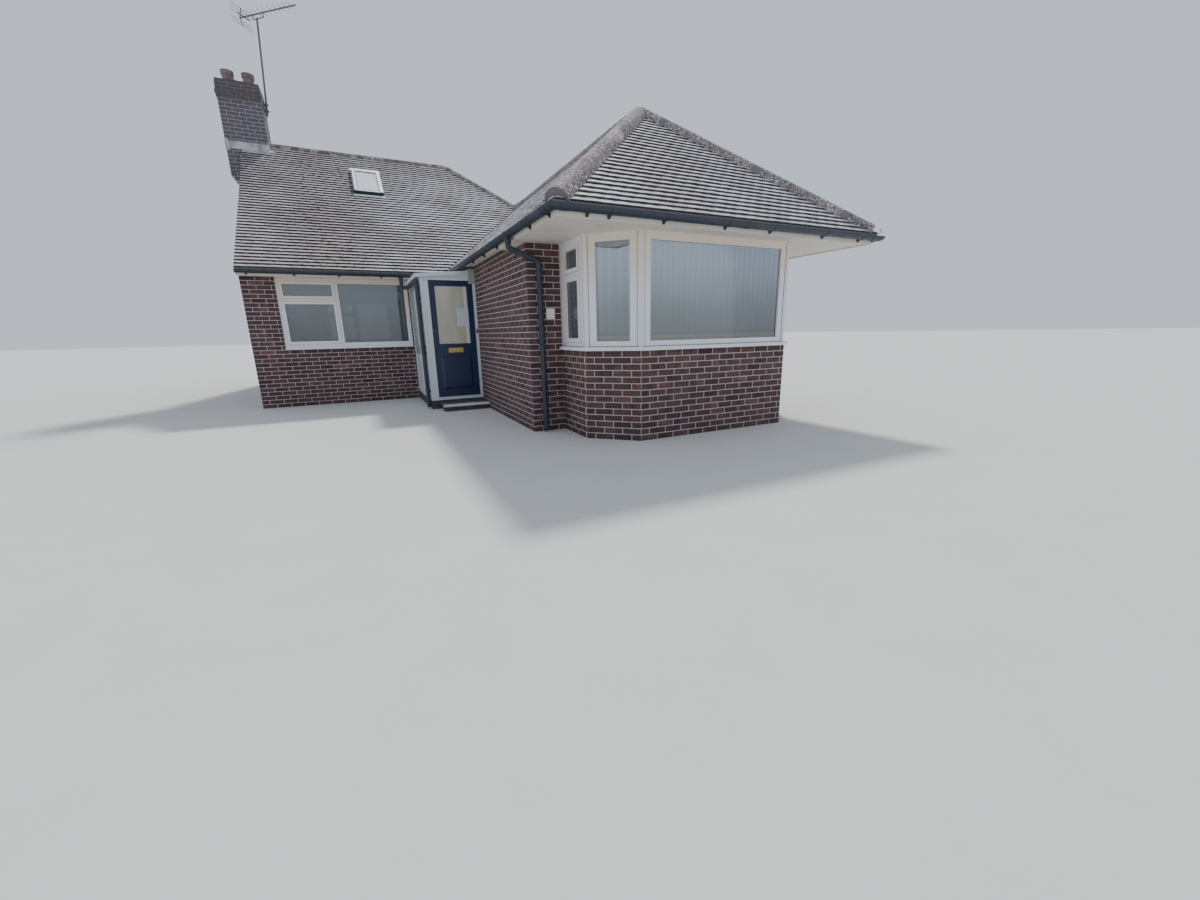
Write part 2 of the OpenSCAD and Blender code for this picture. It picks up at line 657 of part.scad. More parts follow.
// A leaning mast on two brackets at the side of the stack, each given as [rise, start]. A
// cranked arm on top carries the boom, with its rods, the thicker dipole and the two wings of
// the reflector.
mast_r = 19;
mast_off = 55;
mast_y = stack_y - 85;
mast_z = stack_top - 416;
mast_l = 1838;
mast_lean = 3;
brackets = [[75, 0], [196, stack_lip]];
bracket_h = 28;
bracket_w = 46;
bracket_reach = 105;
arm_t = 14;
arm_h = 78;
arm_ends = [-105, 180];
boom_t = 20;
boom_ends = [-450, 1030];
boom_turn = -41;
rods = 10;
rod_t = 6;
rod_first = -215;
rod_pace = 125;
rod_half = 150;
dipole_x = -340;
dipole_half = 150;
wing_rods = [55, 110, 165];
wing_lean = 0.35;
wing_half_l = 240;
module rod(x, z, half, t) box([x - t / 2, -half, z - t / 2], [x + t / 2, half, z + t / 2]);
module tv_aerial() house() color("dimgray") {
    mast_x = stack_right + mast_off;
    for (b = brackets)
        box([stack_right + b[1], mast_y - bracket_w / 2, mast_z + b[0]],
            [stack_right + bracket_reach, mast_y + bracket_w / 2, mast_z + b[0] + bracket_h]);
    translate([mast_x, mast_y, mast_z]) rotate([0, mast_lean, 0])
        cylinder(r = mast_r, h = mast_l, $fn = 16);
    translate([mast_x + mast_l * sin(mast_lean), mast_y, mast_z + mast_l * cos(mast_lean)])
        rotate([0, 0, boom_turn]) {
            for (x = [arm_ends[0], arm_ends[1] - arm_t])
                box([x, -arm_t / 2, -arm_t], [x + arm_t, arm_t / 2, arm_h]);
            box([arm_ends[0], -arm_t / 2, -arm_t], [arm_ends[1], arm_t / 2, 0]);
            translate([0, 0, arm_h]) {
                box([boom_ends[0], -boom_t / 2, -boom_t / 2], [boom_ends[1], boom_t / 2, boom_t / 2]);
                for (i = [0 : rods - 1])
                    rod(rod_first + rod_pace * i, boom_t / 2, rod_half - 5 * i, rod_t);
                rod(dipole_x, boom_t / 2, dipole_half, boom_t);
                for (side = [-1, 1]) {
                    top = wing_rods[2] + rod_t;
                    rotate([90, 0, 0]) linear_extrude(arm_t, center = true)
                        polygon([[boom_ends[0], 0], [boom_ends[0] + arm_t, 0],
                            [boom_ends[0] + arm_t + top * wing_lean, side * top],
                            [boom_ends[0] + top * wing_lean, side * top]]);
                    for (z = wing_rods)
                        rod(boom_ends[0] + z * wing_lean + arm_t / 2, side * z, wing_half_l, rod_t);
                }
            }
        }
}

light_w = 580;
light_l = 1020;
light_x = -1298;
light_y = 7053;
kerb_w = 50;
bar_w = 75;
kerb_h = 70;
module on_rooflight() on_slope(to_main)
    translate([-(light_y - eave_main) / cos(roof_pitch), light_x, 0]) children();
module rooflight_frame() house() color([0.45, 0.45, 0.46]) on_rooflight() difference() {
    union() {
        box([-light_l / 2, -light_w / 2, 0], [light_l / 2, light_w / 2, kerb_h]);
        box([kerb_w - light_l / 2, kerb_w - light_w / 2, -roof_t],
            [light_l / 2 - kerb_w, light_w / 2 - kerb_w, 1]);
    }
    box([bar_w - light_l / 2, bar_w - light_w / 2, -far],
        [light_l / 2 - bar_w, light_w / 2 - bar_w, far]);
}
module rooflight_glass() house() color(glass) on_rooflight()
    box([bar_w - light_l / 2, bar_w - light_w / 2, kerb_h - 8 - pane_t],
        [light_l / 2 - bar_w, light_w / 2 - bar_w, kerb_h - 8]);

// Sills: a board under each frame with a nose outside
sill_nose = 40;
module sill_at(x, w) box([x + gap, -sill_nose, sill_z],
    [x + w - gap, frame_in + frame_d, frame_z]);
module window_sills() house() color(white) {
    outer = bay_pts(-sill_nose);
    inner = bay_pts(frame_in + frame_d);
    translate([0, 0, sill_z]) linear_extrude(frame_z - sill_z) for (i = [0 : 4]) {
        step = unit(outer[i + 1] - outer[i]) * gap;
        polygon([outer[i] + step, outer[i + 1] - step, inner[i + 1] - step, inner[i] + step]);
    }
    translate([0, wing_reach, 0]) sill_at(main_window_x, main_window_w);
    for (o = right_windows) translate([wing_w, 0, 0]) rotate([0, 0, 90]) sill_at(o[0], o[1]);
    for (o = rear_windows)
        translate([o[0] + o[1], house_back, 0]) rotate([0, 0, 180]) sill_at(0, o[1]);
}

module bay_frames() house() color(white) for (i = [0 : 4])
    on_facet(i) frame(facet_w(i), frame_h, facet_lights(i));

module bay_corner_posts() house() color(white) {
    outer = bay_pts(frame_in - 5);
    pts = bay_pts(frame_in);
    inner = bay_pts(frame_in + frame_d + 5);
    translate([0, 0, frame_z]) linear_extrude(frame_h) for (i = [1 : 4]) {
        back = unit(pts[i - 1] - pts[i]) * (post_reach - gap);
        on = unit(pts[i + 1] - pts[i]) * (post_reach - gap);
        turn = [back[1], -back[0]] / (post_reach - gap);
        turn_on = [-on[1], on[0]] / (post_reach - gap);
        polygon([pts[i] + back - turn * 5, outer[i], pts[i] + on - turn_on * 5,
            pts[i] + on + turn_on * (frame_d + 5), inner[i], pts[i] + back + turn * (frame_d + 5)]);
    }
}

module main_window_frame() house() color(white)
    translate([main_window_x, wing_reach + frame_in, frame_z])
        frame(main_window_w, frame_h, main_lights);

module side_window_frames() house() color(white) {
    for (o = right_windows) translate([wing_w - frame_in, o[0], frame_z]) rotate([0, 0, 90])
        frame(o[1], frame_h, pair_lights(o[1]));
    for (o = rear_windows)
        translate([o[0] + o[1], house_back - frame_in, frame_z]) rotate([0, 0, 180])
            frame(o[1], frame_h, pair_lights(o[1]));
}

module window_glass() house() color(glass) {
    for (i = [0 : 4]) on_facet(i) panes(facet_lights(i));
    translate([main_window_x, wing_reach + frame_in, frame_z]) panes(main_lights);
    for (o = right_windows) translate([wing_w - frame_in, o[0], frame_z]) rotate([0, 0, 90])
        panes(pair_lights(o[1]));
    for (o = rear_windows)
        translate([o[0] + o[1], house_back - frame_in, frame_z]) rotate([0, 0, 180])
            panes(pair_lights(o[1]));
}

back_stile = 150;
back_panels = [[200, 850], [1000, 1850]];
back_panel_in = 12;
module back_door() house() color(white)
    translate([back_door_x + back_door_w, house_back - frame_in, floor_z]) rotate([0, 0, 180])
        difference() {
            cube([back_door_w, frame_d, back_door_h]);
            for (z = back_panels)
                box([back_stile, -1, z[0]], [back_door_w - back_stile, back_panel_in, z[1]]);
        }

module doorstep() house() color("gray") {
    box([-step_w + step_nose, porch_y - step_d + step_nose, 0], [0, porch_y, step_h]);
    box([-step_w, porch_y - step_d, step_h - step_top], [0, porch_y, step_h]);
}

module porch_floor() house() color("gray")
    box([-porch_w, porch_y, 0], [0, wing_reach, porch_base_z]);

// The lean-to roof falls to the left; everything in the porch stops at its underside
module porch_section(depth, pts) translate([0, wing_reach, 0]) rotate([90, 0, 0])
    linear_extrude(depth) polygon(pts);
module below_porch_roof() porch_section(far, [[-porch_w - porch_roof_over, 0], [0, 0],
    [0, porch_high_z - porch_roof_t],
    [-porch_w - porch_roof_over, porch_low_z - porch_roof_t]]);

module porch_front_frame() house() color(white) intersection() {
    difference() {
        box([-porch_w, porch_y, porch_base_z], [0, porch_y + frame_d, far / 4]);
        box([-porch_w + post_w, porch_y - 1, porch_base_z + threshold_h],
            [-jamb_w, porch_y + frame_d + 1, leaf_z + door_h + leaf_gap]);
    }
    below_porch_roof();
}

// Two bays, each with a light over a recessed panel
side_w = porch_d - frame_d;
side_bays = [[60, side_w / 2 - 60], [side_w / 2, side_w - 60]];
side_lights = [for (x = side_bays) [x[0], 760, x[1], 1960]];
side_panels = [for (x = side_bays) [x[0], 80, x[1], 690]];
panel_in = 15;
module on_porch_side() translate([-porch_w, wing_reach, porch_base_z]) rotate([0, 0, -90])
    children();
module porch_side_frame() house() color(white) intersection() {
    on_porch_side() difference() {
        frame(side_w, far / 4, [side_lights, []]);
        for (o = side_panels) {
            box([o[0], -1, o[1]], [o[2], panel_in, o[3]]);
            box([o[0], frame_d - panel_in, o[1]], [o[2], frame_d + 1, o[3]]);
        }
    }
    below_porch_roof();
}
module porch_glass() house() color(glass) on_porch_side() panes([side_lights, []]);

module porch_slab() porch_section(porch_d + porch_roof_front, [
    [-porch_w - porch_roof_over, porch_low_z - porch_roof_t], [0, porch_high_z - porch_roof_t],
    [0, porch_high_z], [-porch_w - porch_roof_over, porch_low_z]]);
// The roof turns up beside the wing's wall, as far back as the main board
module porch_roof() house() color(white) {
    porch_slab();
    box([-porch_upstand[0], porch_y - porch_roof_front, porch_high_z - porch_roof_t / 2],
        [0, eave_main - gap, porch_high_z + porch_upstand[1]]);
}

// Holes of the door leaf, from its lower free corner
door_stile = 82;
door_light = [door_stile, 895, door_w - door_stile, 1870];
door_panel = [door_stile, 115, door_w - door_stile, 715];
panel_sink = 9;
panel_margin = 45;
module on_leaf() translate([leaf_x, leaf_y, leaf_z]) children();

// A sunk panel whose field slopes up again to the face of the leaf, seen from y = 0
module panel_cut() difference() {
    box([door_panel[0], -1, door_panel[1]], [door_panel[2], panel_sink, door_panel[3]]);
    hull() for (f = [[panel_margin / 3, panel_sink], [panel_margin, 1]])
        box([door_panel[0] + f[0], f[1], door_panel[1] + f[0]],
            [door_panel[2] - f[0], panel_sink + 1, door_panel[3] - f[0]]);
}
module front_door() house() color(navy) on_leaf() difference() {
    cube([door_w, door_t, door_h]);
    box([door_light[0], -1, door_light[1]], [door_light[2], door_t + 1, door_light[3]]);
    panel_cut();
    translate([0, door_t, 0]) mirror([0, 1, 0]) panel_cut();
}
module door_glass() house() color(glass) on_leaf()
    box([door_light[0], (door_t - pane_t) / 2, door_light[1]],
        [door_light[2], (door_t + pane_t) / 2, door_light[3]]);

// Letter plate with a raised flap
plate_w = 250;
plate_h = 80;
plate_z = 756;
plate_t = 8;
flap_in = 14;
module letter_plate() house() color("goldenrod") on_leaf() {
    x = (door_w - plate_w) / 2;
    box([x, -plate_t / 2, plate_z], [x + plate_w, 0, plate_z + plate_h]);
    box([x + flap_in, -plate_t, plate_z + flap_in],
        [x + plate_w - flap_in, 0, plate_z + plate_h - flap_in]);
}

// A round lock outside, and inside a back plate with a neck and a lever
lock_x = 38;
lock_z = 1124;
lock_r = 17;
lever_z = 1060;
lever_t = 12;
lever_off = 34;
lever_l = 112;
lever_w = 18;
neck_r = 9;
back_plate = [32, 210, 8];
module door_handle() house() color("silver") on_leaf() {
    translate([lock_x, 0, lock_z]) rotate([90, 0, 0]) cylinder(r = lock_r, h = 9, $fn = 32);
    translate([lock_x, door_t, lever_z]) {
        translate([-back_plate[0] / 2, 0, -back_plate[1] / 2])
            cube([back_plate[0], back_plate[2], back_plate[1]]);
        rotate([-90, 0, 0]) cylinder(r = neck_r, h = lever_off, $fn = 24);
        box([-neck_r, lever_off, -lever_w / 2], [lever_l, lever_off + lever_t, lever_w / 2]);
    }
}

// Knuckles on the inner face, each with the flap that is screwed to the leaf
knuckle_r = 7;
knuckle_h = 100;
flap_w = 45;
hinge_rise = [160, 920, 1680];
module door_hinges() house() color("silver") for (z = hinge_rise)
    translate([hinge_x, hinge_y, leaf_z + z]) {
        cylinder(r = knuckle_r, h = knuckle_h, $fn = 24);
        box([-flap_w, -knuckle_r - 1, 0], [0, -knuckle_r + 2, knuckle_h]);
    }

// The blank tile for the house number, beside the bay
tile_at = [228, 1433];
tile_size = [110, 12, 128];
module number_plate() house() color("white")
    translate([tile_at[0], -tile_size[1], tile_at[1]]) cube(tile_size);

floor_slab();
party_wall();
main_front_wall();
wing_left_wall();
wing_front_wall();
bay_wall();
right_wall();
rear_wall();
ceilings();
main_roof_front();
main_roof_rear();
main_roof_right();
wing_roof_left();
wing_roof_right();
wing_roof_front();
ridge_tiles();
hip_tiles();
soffit_boards();
fascia_boards();
gutters();
downpipes();
chimney_stack();
chimney_pots();
chimney_flashing();
tv_aerial();
rooflight_frame();
rooflight_glass();
window_sills();
bay_frames();
bay_corner_posts();
main_window_frame();
side_window_frames();
window_glass();
back_door();
doorstep();
porch_floor();
porch_front_frame();
porch_side_frame();
porch_glass();
porch_roof();
front_door();
door_glass();
letter_plate();
door_handle();
door_hinges();
number_plate();
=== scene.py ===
import math
import bpy
import numpy as np
from mathutils import Matrix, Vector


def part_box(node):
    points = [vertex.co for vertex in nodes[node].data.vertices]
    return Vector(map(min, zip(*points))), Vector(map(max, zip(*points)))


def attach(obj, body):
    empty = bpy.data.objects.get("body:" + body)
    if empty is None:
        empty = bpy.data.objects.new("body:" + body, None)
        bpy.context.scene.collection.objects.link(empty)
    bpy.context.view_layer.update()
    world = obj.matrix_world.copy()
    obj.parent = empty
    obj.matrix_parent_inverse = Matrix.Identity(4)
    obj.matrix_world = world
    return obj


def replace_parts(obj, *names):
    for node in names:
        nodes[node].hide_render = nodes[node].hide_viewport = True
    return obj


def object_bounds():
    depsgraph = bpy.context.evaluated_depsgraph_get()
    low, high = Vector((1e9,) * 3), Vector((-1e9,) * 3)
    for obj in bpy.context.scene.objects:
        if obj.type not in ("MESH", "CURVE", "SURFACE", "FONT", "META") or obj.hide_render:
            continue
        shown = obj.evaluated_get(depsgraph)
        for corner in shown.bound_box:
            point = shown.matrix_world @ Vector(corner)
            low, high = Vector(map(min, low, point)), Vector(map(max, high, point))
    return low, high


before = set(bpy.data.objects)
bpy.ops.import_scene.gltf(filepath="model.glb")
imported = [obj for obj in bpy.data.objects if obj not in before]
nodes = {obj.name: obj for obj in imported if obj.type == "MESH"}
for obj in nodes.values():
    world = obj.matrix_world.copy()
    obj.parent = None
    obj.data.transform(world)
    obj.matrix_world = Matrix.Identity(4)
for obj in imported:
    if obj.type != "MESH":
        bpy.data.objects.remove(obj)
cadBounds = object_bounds()
home = np.array([*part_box("wing_left_wall")[0][:2], 0.0])  # the wing's front left corner at ground level
rng = np.random.default_rng(8)


# Finishes

class Wire:
    # an output socket that takes part in sums: each operator adds one Math node
    def __init__(self, finish, socket):
        self.finish, self.socket = finish, socket

    def __add__(self, other):
        return self.finish.maths("ADD", self, other)

    def __sub__(self, other):
        return self.finish.maths("SUBTRACT", self, other)

    def __rsub__(self, other):
        return self.finish.maths("SUBTRACT", other, self)

    def __mul__(self, other):
        return self.finish.maths("MULTIPLY", self, other)

    __radd__, __rmul__ = __add__, __mul__


class Finish:
    # one material: a Principled shader and the nodes that feed it
    def __init__(self, name, **plain):
        self.material = bpy.data.materials.new(name)
        self.material.use_nodes = True
        self.tree = self.material.node_tree
        self.tree.nodes.clear()
        self.shader = self.tree.nodes.new("ShaderNodeBsdfPrincipled")
        output = self.tree.nodes.new("ShaderNodeOutputMaterial")
        self.tree.links.new(self.shader.outputs[0], output.inputs[0])
        for key, value in plain.items():
            self.feed(self.shader.inputs[key.replace("_", " ")], value)

    def feed(self, socket, value):
        if isinstance(value, Wire):
            self.tree.links.new(value.socket, socket)
        elif isinstance(value, tuple) and socket.type == "RGBA":
            socket.default_value = (*value, 1.0)
        else:
            socket.default_value = value

    def node(self, kind, settings, sockets, out=0):
        made = self.tree.nodes.new("ShaderNode" + kind)
        for key, value in settings.items():
            if key == "stops":
                self.setStops(made.color_ramp, value)
            else:
                setattr(made, key, value)
        for key, value in sockets.items():
            self.feed(made.inputs[key], value)
        return Wire(self, made.outputs[out])

    def setStops(self, ramp, stops):
        while len(ramp.elements) < len(stops):
            ramp.elements.new(0.5)
        for element, (place, colour) in zip(ramp.elements, stops):
            element.position, element.color = place, (*colour, 1.0)

    def maths(self, operation, first, second=0.0):
        return self.node("Math", {"operation": operation}, {0: first, 1: second})

    def place(self):
        return self.node("TexCoord", {}, {}, "Object")

    def stretched(self, *scale):
        return self.node("Mapping", {}, {"Vector": self.place(), "Scale": scale})

    def axis(self, which):
        return self.node("SeparateXYZ", {}, {0: self.place()}, which)

    def noise(self, scale, detail=4.0, where=None, rough=0.55):
        sockets = {"Vector": where or self.place(), "Scale": scale, "Detail": detail, "Roughness": rough}
        return self.node("TexNoise", {}, sockets)

    def cells(self, scale):
        return self.node("TexVoronoi", {}, {"Vector": self.place(), "Scale": scale})

    def attribute(self, name):
        return self.node("Attribute", {"attribute_name": name}, {}, "Fac")

    def between(self, value, low, high, toLow=0.0, toHigh=1.0):
        # eases from toLow to toHigh while value goes from low to high
        sockets = {"Value": value, "From Min": low, "From Max": high, "To Min": toLow, "To Max": toHigh}
        return self.node("MapRange", {"interpolation_type": "SMOOTHSTEP"}, sockets)

    def patches(self, scale, detail, low, high, where=None, rough=0.55):
        # noise cut to patches: 0 where it is under low, 1 where it is over high
        return self.between(self.noise(scale, detail, where, rough), low, high)

    def ramp(self, value, *stops):
        return self.node("ValToRGB", {"stops": stops}, {"Fac": value})

    def mix(self, factor, first, second):
        return self.node("Mix", {"data_type": "RGBA"}, {0: factor, 6: first, 7: second}, 2)

    def over(self, tone, *layers):
        # colours laid over a tone one after another, each through its mask
        for mask, colour in layers:
            tone = self.mix(mask, tone, colour)
        return tone

    def facing(self, *direction):
        # how far the surface faces a direction, from -1 to 1
        normal = self.node("NewGeometry", {}, {}, "Normal")
        return self.node("VectorMath", {"operation": "DOT_PRODUCT"}, {0: normal, 1: direction}, "Value")

    def dress(self, colour, roughness, height=None, distance=0.0, strength=0.0):
        self.feed(self.shader.inputs["Base Color"], colour)
        self.feed(self.shader.inputs["Roughness"], roughness)
        if height is not None:
            sockets = {"Strength": strength, "Distance": distance, "Height": height}
            self.feed(self.shader.inputs["Normal"], self.node("Bump", {}, sockets))
        return self.material


def makeRoofTile(name, pale, lichen, cool=(0.72, 0.74, 0.85), foot=0.92, blotches=0.1):
    # weathered clay: a tint for each tile, a pale wash whose cool blue share is painted sky reflection, rust,
    # grime, lichen, moss and a mossy band below the stack; darker at each tile's back with painted shade under
    # the course above and dirt there, and painted shade on what faces down
    f = Finish(name)
    clay = f.ramp(f.attribute("tint"), (0.0, (0.190, 0.170, 0.185)), (0.35, (0.320, 0.293, 0.318)),
                  (0.7, (0.420, 0.390, 0.418)), (1.0, (0.740, 0.715, 0.745)))
    # pale weathered wash, bluer towards +X, whose cool blue share is painted sky reflection
    wash = f.mix(f.between(f.axis(0), -3.2, -0.4), (0.640, 0.605, 0.620), cool)
    spots = f.patches(34.0, 5.0, lichen, lichen + 0.08)
    moss = f.patches(14.0, 6.0, 0.64, 0.72) * f.patches(0.8, 4.0, 0.45, 0.6)
    band = f.between(f.axis(0), -3.2, -2.7) * f.between(f.axis(0), -2.0, -1.5, 1.0, 0.0)
    clay = f.over(clay, (f.patches(0.9, 6.0, 0.36, 0.66) * pale, wash),
                  (f.patches(0.45, 3.0, 0.52, 0.68) * 0.35, (0.235, 0.165, 0.135)),
                  (f.patches(7.0, 6.0, 0.50, 0.74) * 0.5, (0.085, 0.074, 0.078)),
                  (f.patches(2.8, 9.0, 0.50, 0.56, None, 0.68) * blotches, (0.105, 0.095, 0.105)),
                  (spots * 0.8, (0.82, 0.79, 0.77)), (moss * 0.6, (0.14, 0.135, 0.070)),
                  (band * 0.4, (0.40, 0.335, 0.285)),
                  (f.patches(11.0, 7.0, 0.55, 0.62) * band * 0.85, (0.085, 0.072, 0.055)),
                  # painted shade under the course above, with dirt there, at each tile's back
                  (f.between(f.attribute("upper"), 0.34, 0.66) * 0.92, (0.070, 0.060, 0.072)),
                  # painted shade on what faces down, weighted by foot
                  (f.between(f.facing(0, 0, 1), 0.10, 0.60, 1.0, 0.0) * foot, (0.034, 0.030, 0.036)))
    return f.dress(clay, f.between(spots, 0.0, 1.0, 0.72, 0.92), f.noise(70.0, 8.0), 0.0025, 0.6)


def makeRidgeTile(name, moss=0.35):
    # pinkish clay under a close crust of pale lichen and dark moss
    f = Finish(name)
    clay = f.ramp(f.attribute("tint"), (0.0, (0.190, 0.150, 0.158)), (1.0, (0.290, 0.238, 0.246)))
    crust = f.noise(38.0, 9.0, None, 0.74)
    clay = f.over(clay, (f.between(crust, 0.52, 0.58) * 0.95, (0.72, 0.68, 0.69)),
                  (f.between(crust, 0.47, 0.41) * 0.95, (0.055, 0.047, 0.050)),
                  (f.patches(5.0, 5.0, 0.45, 0.62) * moss, (0.115, 0.105, 0.090)))
    return f.dress(clay, 0.92, f.noise(60.0, 8.0), 0.004, 0.7)


def makeBrick(name, soot):
    # dark brown-purple brick: one tint for each, burns, drag marks, a pale bloom, and damp at its foot
    f = Finish(name)
    clay = f.ramp(f.attribute("tint"), (0.0, (0.047, 0.032, 0.037)), (0.22, (0.075, 0.045, 0.049)),
                  (0.5, (0.098, 0.055, 0.056)), (0.78, (0.120, 0.064, 0.062)), (1.0, (0.178, 0.090, 0.080)))
    grain = f.noise(120.0, 6.0)
    damp = f.between(f.axis(2), 0.02, 0.24, 0.5, 0.0) * f.patches(2.5, 5.0, 0.3, 0.6)
    clay = f.over(clay, (f.patches(11.0, 5.0, 0.46, 0.70) * 0.75, (0.038, 0.030, 0.037)),
                  (f.between(grain, 0.55, 0.75) * 0.30, (0.24, 0.165, 0.150)),
                  (f.patches(4.0, 7.0, 0.56, 0.78) * 0.26, (0.34, 0.29, 0.285)),
                  (damp, (0.030, 0.026, 0.028)), (soot, (0.130, 0.130, 0.165)),
                  (f.between(f.axis(2), 6.10, 6.22) * 0.7, (0.082, 0.066, 0.070)))
    return f.dress(clay, 0.9, grain * 0.7 + f.cells(150.0) * 0.5, 0.0016, 0.6)


def makeMortar(name, colour, dirt):
    # gritty, with darker patches, and browner in the stack's top courses
    f = Finish(name)
    top = f.between(f.axis(2), 6.10, 6.22) * f.between(f.axis(2), 6.40, 6.46, 0.7, 0.2)
    sand = f.over(colour, (f.patches(220.0, 3.0, 0.35, 0.7) * 0.35, (0.30, 0.26, 0.23)),
                  (f.patches(3.0, 6.0, 0.45, 0.75) * dirt, (0.17, 0.145, 0.13)),
                  (top, (0.125, 0.105, 0.108)))
    return f.dress(sand, 0.95, f.noise(260.0, 4.0), 0.0012, 0.6)


def makePlastic(name, colour, dirt, roughness=0.32, bounceWarmth=0.0):
    # smooth extrusion with grime in upright runs; the warm cream towards the top of what faces the front is
    # painted ground bounce light
    f = Finish(name)
    runs = f.noise(6.0, 5.0, f.stretched(1.0, 1.0, 0.12))
    # painted warm ground bounce light on the upper front faces
    bounceGlow = f.between(f.axis(2), 1.5, 2.25) * f.between(f.facing(0, -1, 0), -0.55, 0.85)
    tone = f.over(colour, (bounceGlow * bounceWarmth, (0.86, 0.735, 0.585)),
                  (f.between(runs, 0.50, 0.78) * dirt, (0.34, 0.33, 0.30)))
    return f.dress(tone, f.between(runs, 0.3, 0.7, roughness, roughness + 0.15), f.noise(30.0), 0.0006, 0.25)


def makeBlack(name):
    # sun-bleached black plastic with grey dust on what faces up
    f = Finish(name)
    dust = f.between(f.facing(0, 0, 1), 0.2, 1.0) * f.patches(12.0, 5.0, 0.3, 0.7)
    tone = f.over((0.026, 0.034, 0.052), (dust * 0.3, (0.165, 0.180, 0.210)),
                  (f.patches(5.0, 5.0, 0.5, 0.8) * 0.25, (0.095, 0.110, 0.145)))
    return f.dress(tone, f.between(f.noise(18.0), 0.3, 0.7, 0.34, 0.55), f.noise(80.0), 0.0004, 0.3)


def makeMetal(name, colour, roughness, stain=(0.25, 0.25, 0.25), amount=0.3):
    f = Finish(name, Metallic=0.9)
    marks = f.noise(16.0, 6.0)
    tone = f.mix(f.between(marks, 0.5, 0.75) * amount, colour, stain)
    return f.dress(tone, f.between(marks, 0.3, 0.7, roughness, roughness + 0.18), f.noise(90.0), 0.0004, 0.3)


def makeLead(name):
    f = Finish(name, Metallic=0.25)
    streaks = f.patches(8.0, 4.0, 0.55, 0.75, f.stretched(3.0, 3.0, 0.3))
    tone = f.over((0.30, 0.315, 0.33), (f.patches(7.0, 6.0, 0.4, 0.68), (0.55, 0.565, 0.58)),
                  (streaks * 0.4, (0.20, 0.21, 0.22)))
    return f.dress(tone, 0.6, f.noise(11.0, 5.0), 0.006, 0.5)


def makeConcrete(name, colour):
    # paler stones and darker patches of its own colour
    f = Finish(name)
    stones = f.between(f.cells(90.0), 0.1, 0.5) * 0.25
    tone = f.over(colour, (stones, tuple(min(1.0, c * 1.8) for c in colour)),
                  (f.patches(3.5, 7.0, 0.45, 0.7) * 0.45, tuple(c * 0.55 for c in colour)))
    return f.dress(tone, 0.9, f.noise(90.0, 6.0), 0.0015, 0.6)


def makePaint(name, colour):
    # brushed gloss paint, gone a little chalky
    f = Finish(name, Coat_Weight=0.1, Coat_Roughness=0.2)
    strokes = f.noise(28.0, 4.0, f.stretched(1.0, 1.0, 0.08))
    tone = f.mix(f.between(strokes, 0.35, 0.75) * 0.15, colour, (0.030, 0.052, 0.115))
    return f.dress(tone, f.between(strokes, 0.3, 0.7, 0.30, 0.38), strokes, 0.0002, 0.3)


def makeGlass(name, high, low, opacity):
    # a pane as a part-silvered sheet: the opaque share mirrors, the rest lets the room show; its colour is
    # painted reflection, pale painted sky reflection at the top and darker painted reflection towards the foot,
    # on the left sides and on the panes further back, with faint upright slats in it
    f = Finish(name)
    edge = f.node("Fresnel", {}, {"IOR": 1.5})
    smears = f.patches(5.0, 6.0, 0.5, 0.8)
    wave = f.axis(2) + f.noise(1.1, 3.0) * 0.5
    slats = f.between(f.maths("SINE", f.axis(0) * 78.5), -0.9, 0.6)
    left = f.between(f.facing(-1, 0, 0), 0.80, 0.95)
    far = f.between(f.axis(1), -1.6, -1.2)
    # painted sky reflection (high) above a darker painted reflection (low)
    tone = f.over(low, (f.between(wave, 1.45, 2.35), high), (slats * 0.14, (0.27, 0.285, 0.28)),
                  # darker painted reflection at the panes' foot, on left-facing panes and on the panes further
                  # back
                  (f.between(f.axis(2), 1.10, 1.30, 0.75, 0.0), (0.20, 0.205, 0.19)),
                  (left * 0.85, (0.155, 0.150, 0.160)), (far * 0.7, (0.20, 0.215, 0.22)))
    f.feed(f.shader.inputs["Alpha"], edge * (1.0 - opacity) + smears * 0.05 + opacity)
    f.feed(f.shader.inputs["Metallic"], 1.0 - left * 0.8 - far * 0.55)
    return f.dress(tone, f.between(smears, 0.0, 1.0, 0.02, 0.07))


def makeObscured(name, low, high, strip=0.0, start=0.0, end=0.0, edge=0.006):
    # patterned glass with pale light behind it, and a brighter upright strip from start to end
    f = Finish(name, Specular_IOR_Level=0.7)
    bands = f.patches(3.0, 3.0, 0.35, 0.7, f.stretched(1.0, 1.0, 0.25))
    lit = f.between(f.axis(0), start - edge, start) * f.between(f.axis(0), end, end + edge, 1.0, 0.0)
    tone = f.over(low, (bands, high), (lit * strip, (0.80, 0.79, 0.72)))
    return f.dress(tone, 0.16, f.cells(140.0), 0.0015, 0.35)


def makeBoard(name, colour, boards=0.0):
    # weathered board, cut by fine grooves along X, so many of them to a metre, with painted shade in each groove
    f = Finish(name)
    tone = f.mix(f.patches(2.2, 6.0, 0.45, 0.75) * 0.3, colour, (0.44, 0.42, 0.38))
    grain = f.noise(40.0, 4.0, f.stretched(0.06, 1.0, 1.0))
    if boards:
        # painted shade in each groove
        groove = f.between(f.maths("FRACT", f.axis(1) * boards), 0.0, 0.18, 1.0, 0.0)
        tone = f.mix(groove * 0.7, tone, (0.34, 0.32, 0.29))
        grain = grain - groove * 2.0
    return f.dress(tone, 0.5, grain, 0.0007, 0.4)


def makeClayPot(name):
    f = Finish(name)
    tone = f.over((0.215, 0.165, 0.155), (f.patches(9.0, 6.0, 0.4, 0.7), (0.125, 0.105, 0.108)),
                  (f.patches(40.0, 4.0, 0.6, 0.72) * 0.5, (0.42, 0.40, 0.36)))
    return f.dress(tone, 0.85, f.noise(60.0, 6.0), 0.002, 0.6)


def makeBlind(name):
    f = Finish(name)
    weave = f.noise(260.0, 2.0, f.stretched(1.0, 1.0, 0.3))
    tone = f.mix(f.between(weave, 0.3, 0.7), (0.76, 0.78, 0.75), (0.86, 0.87, 0.84))
    return f.dress(tone, 0.8, weave, 0.0004, 0.4)


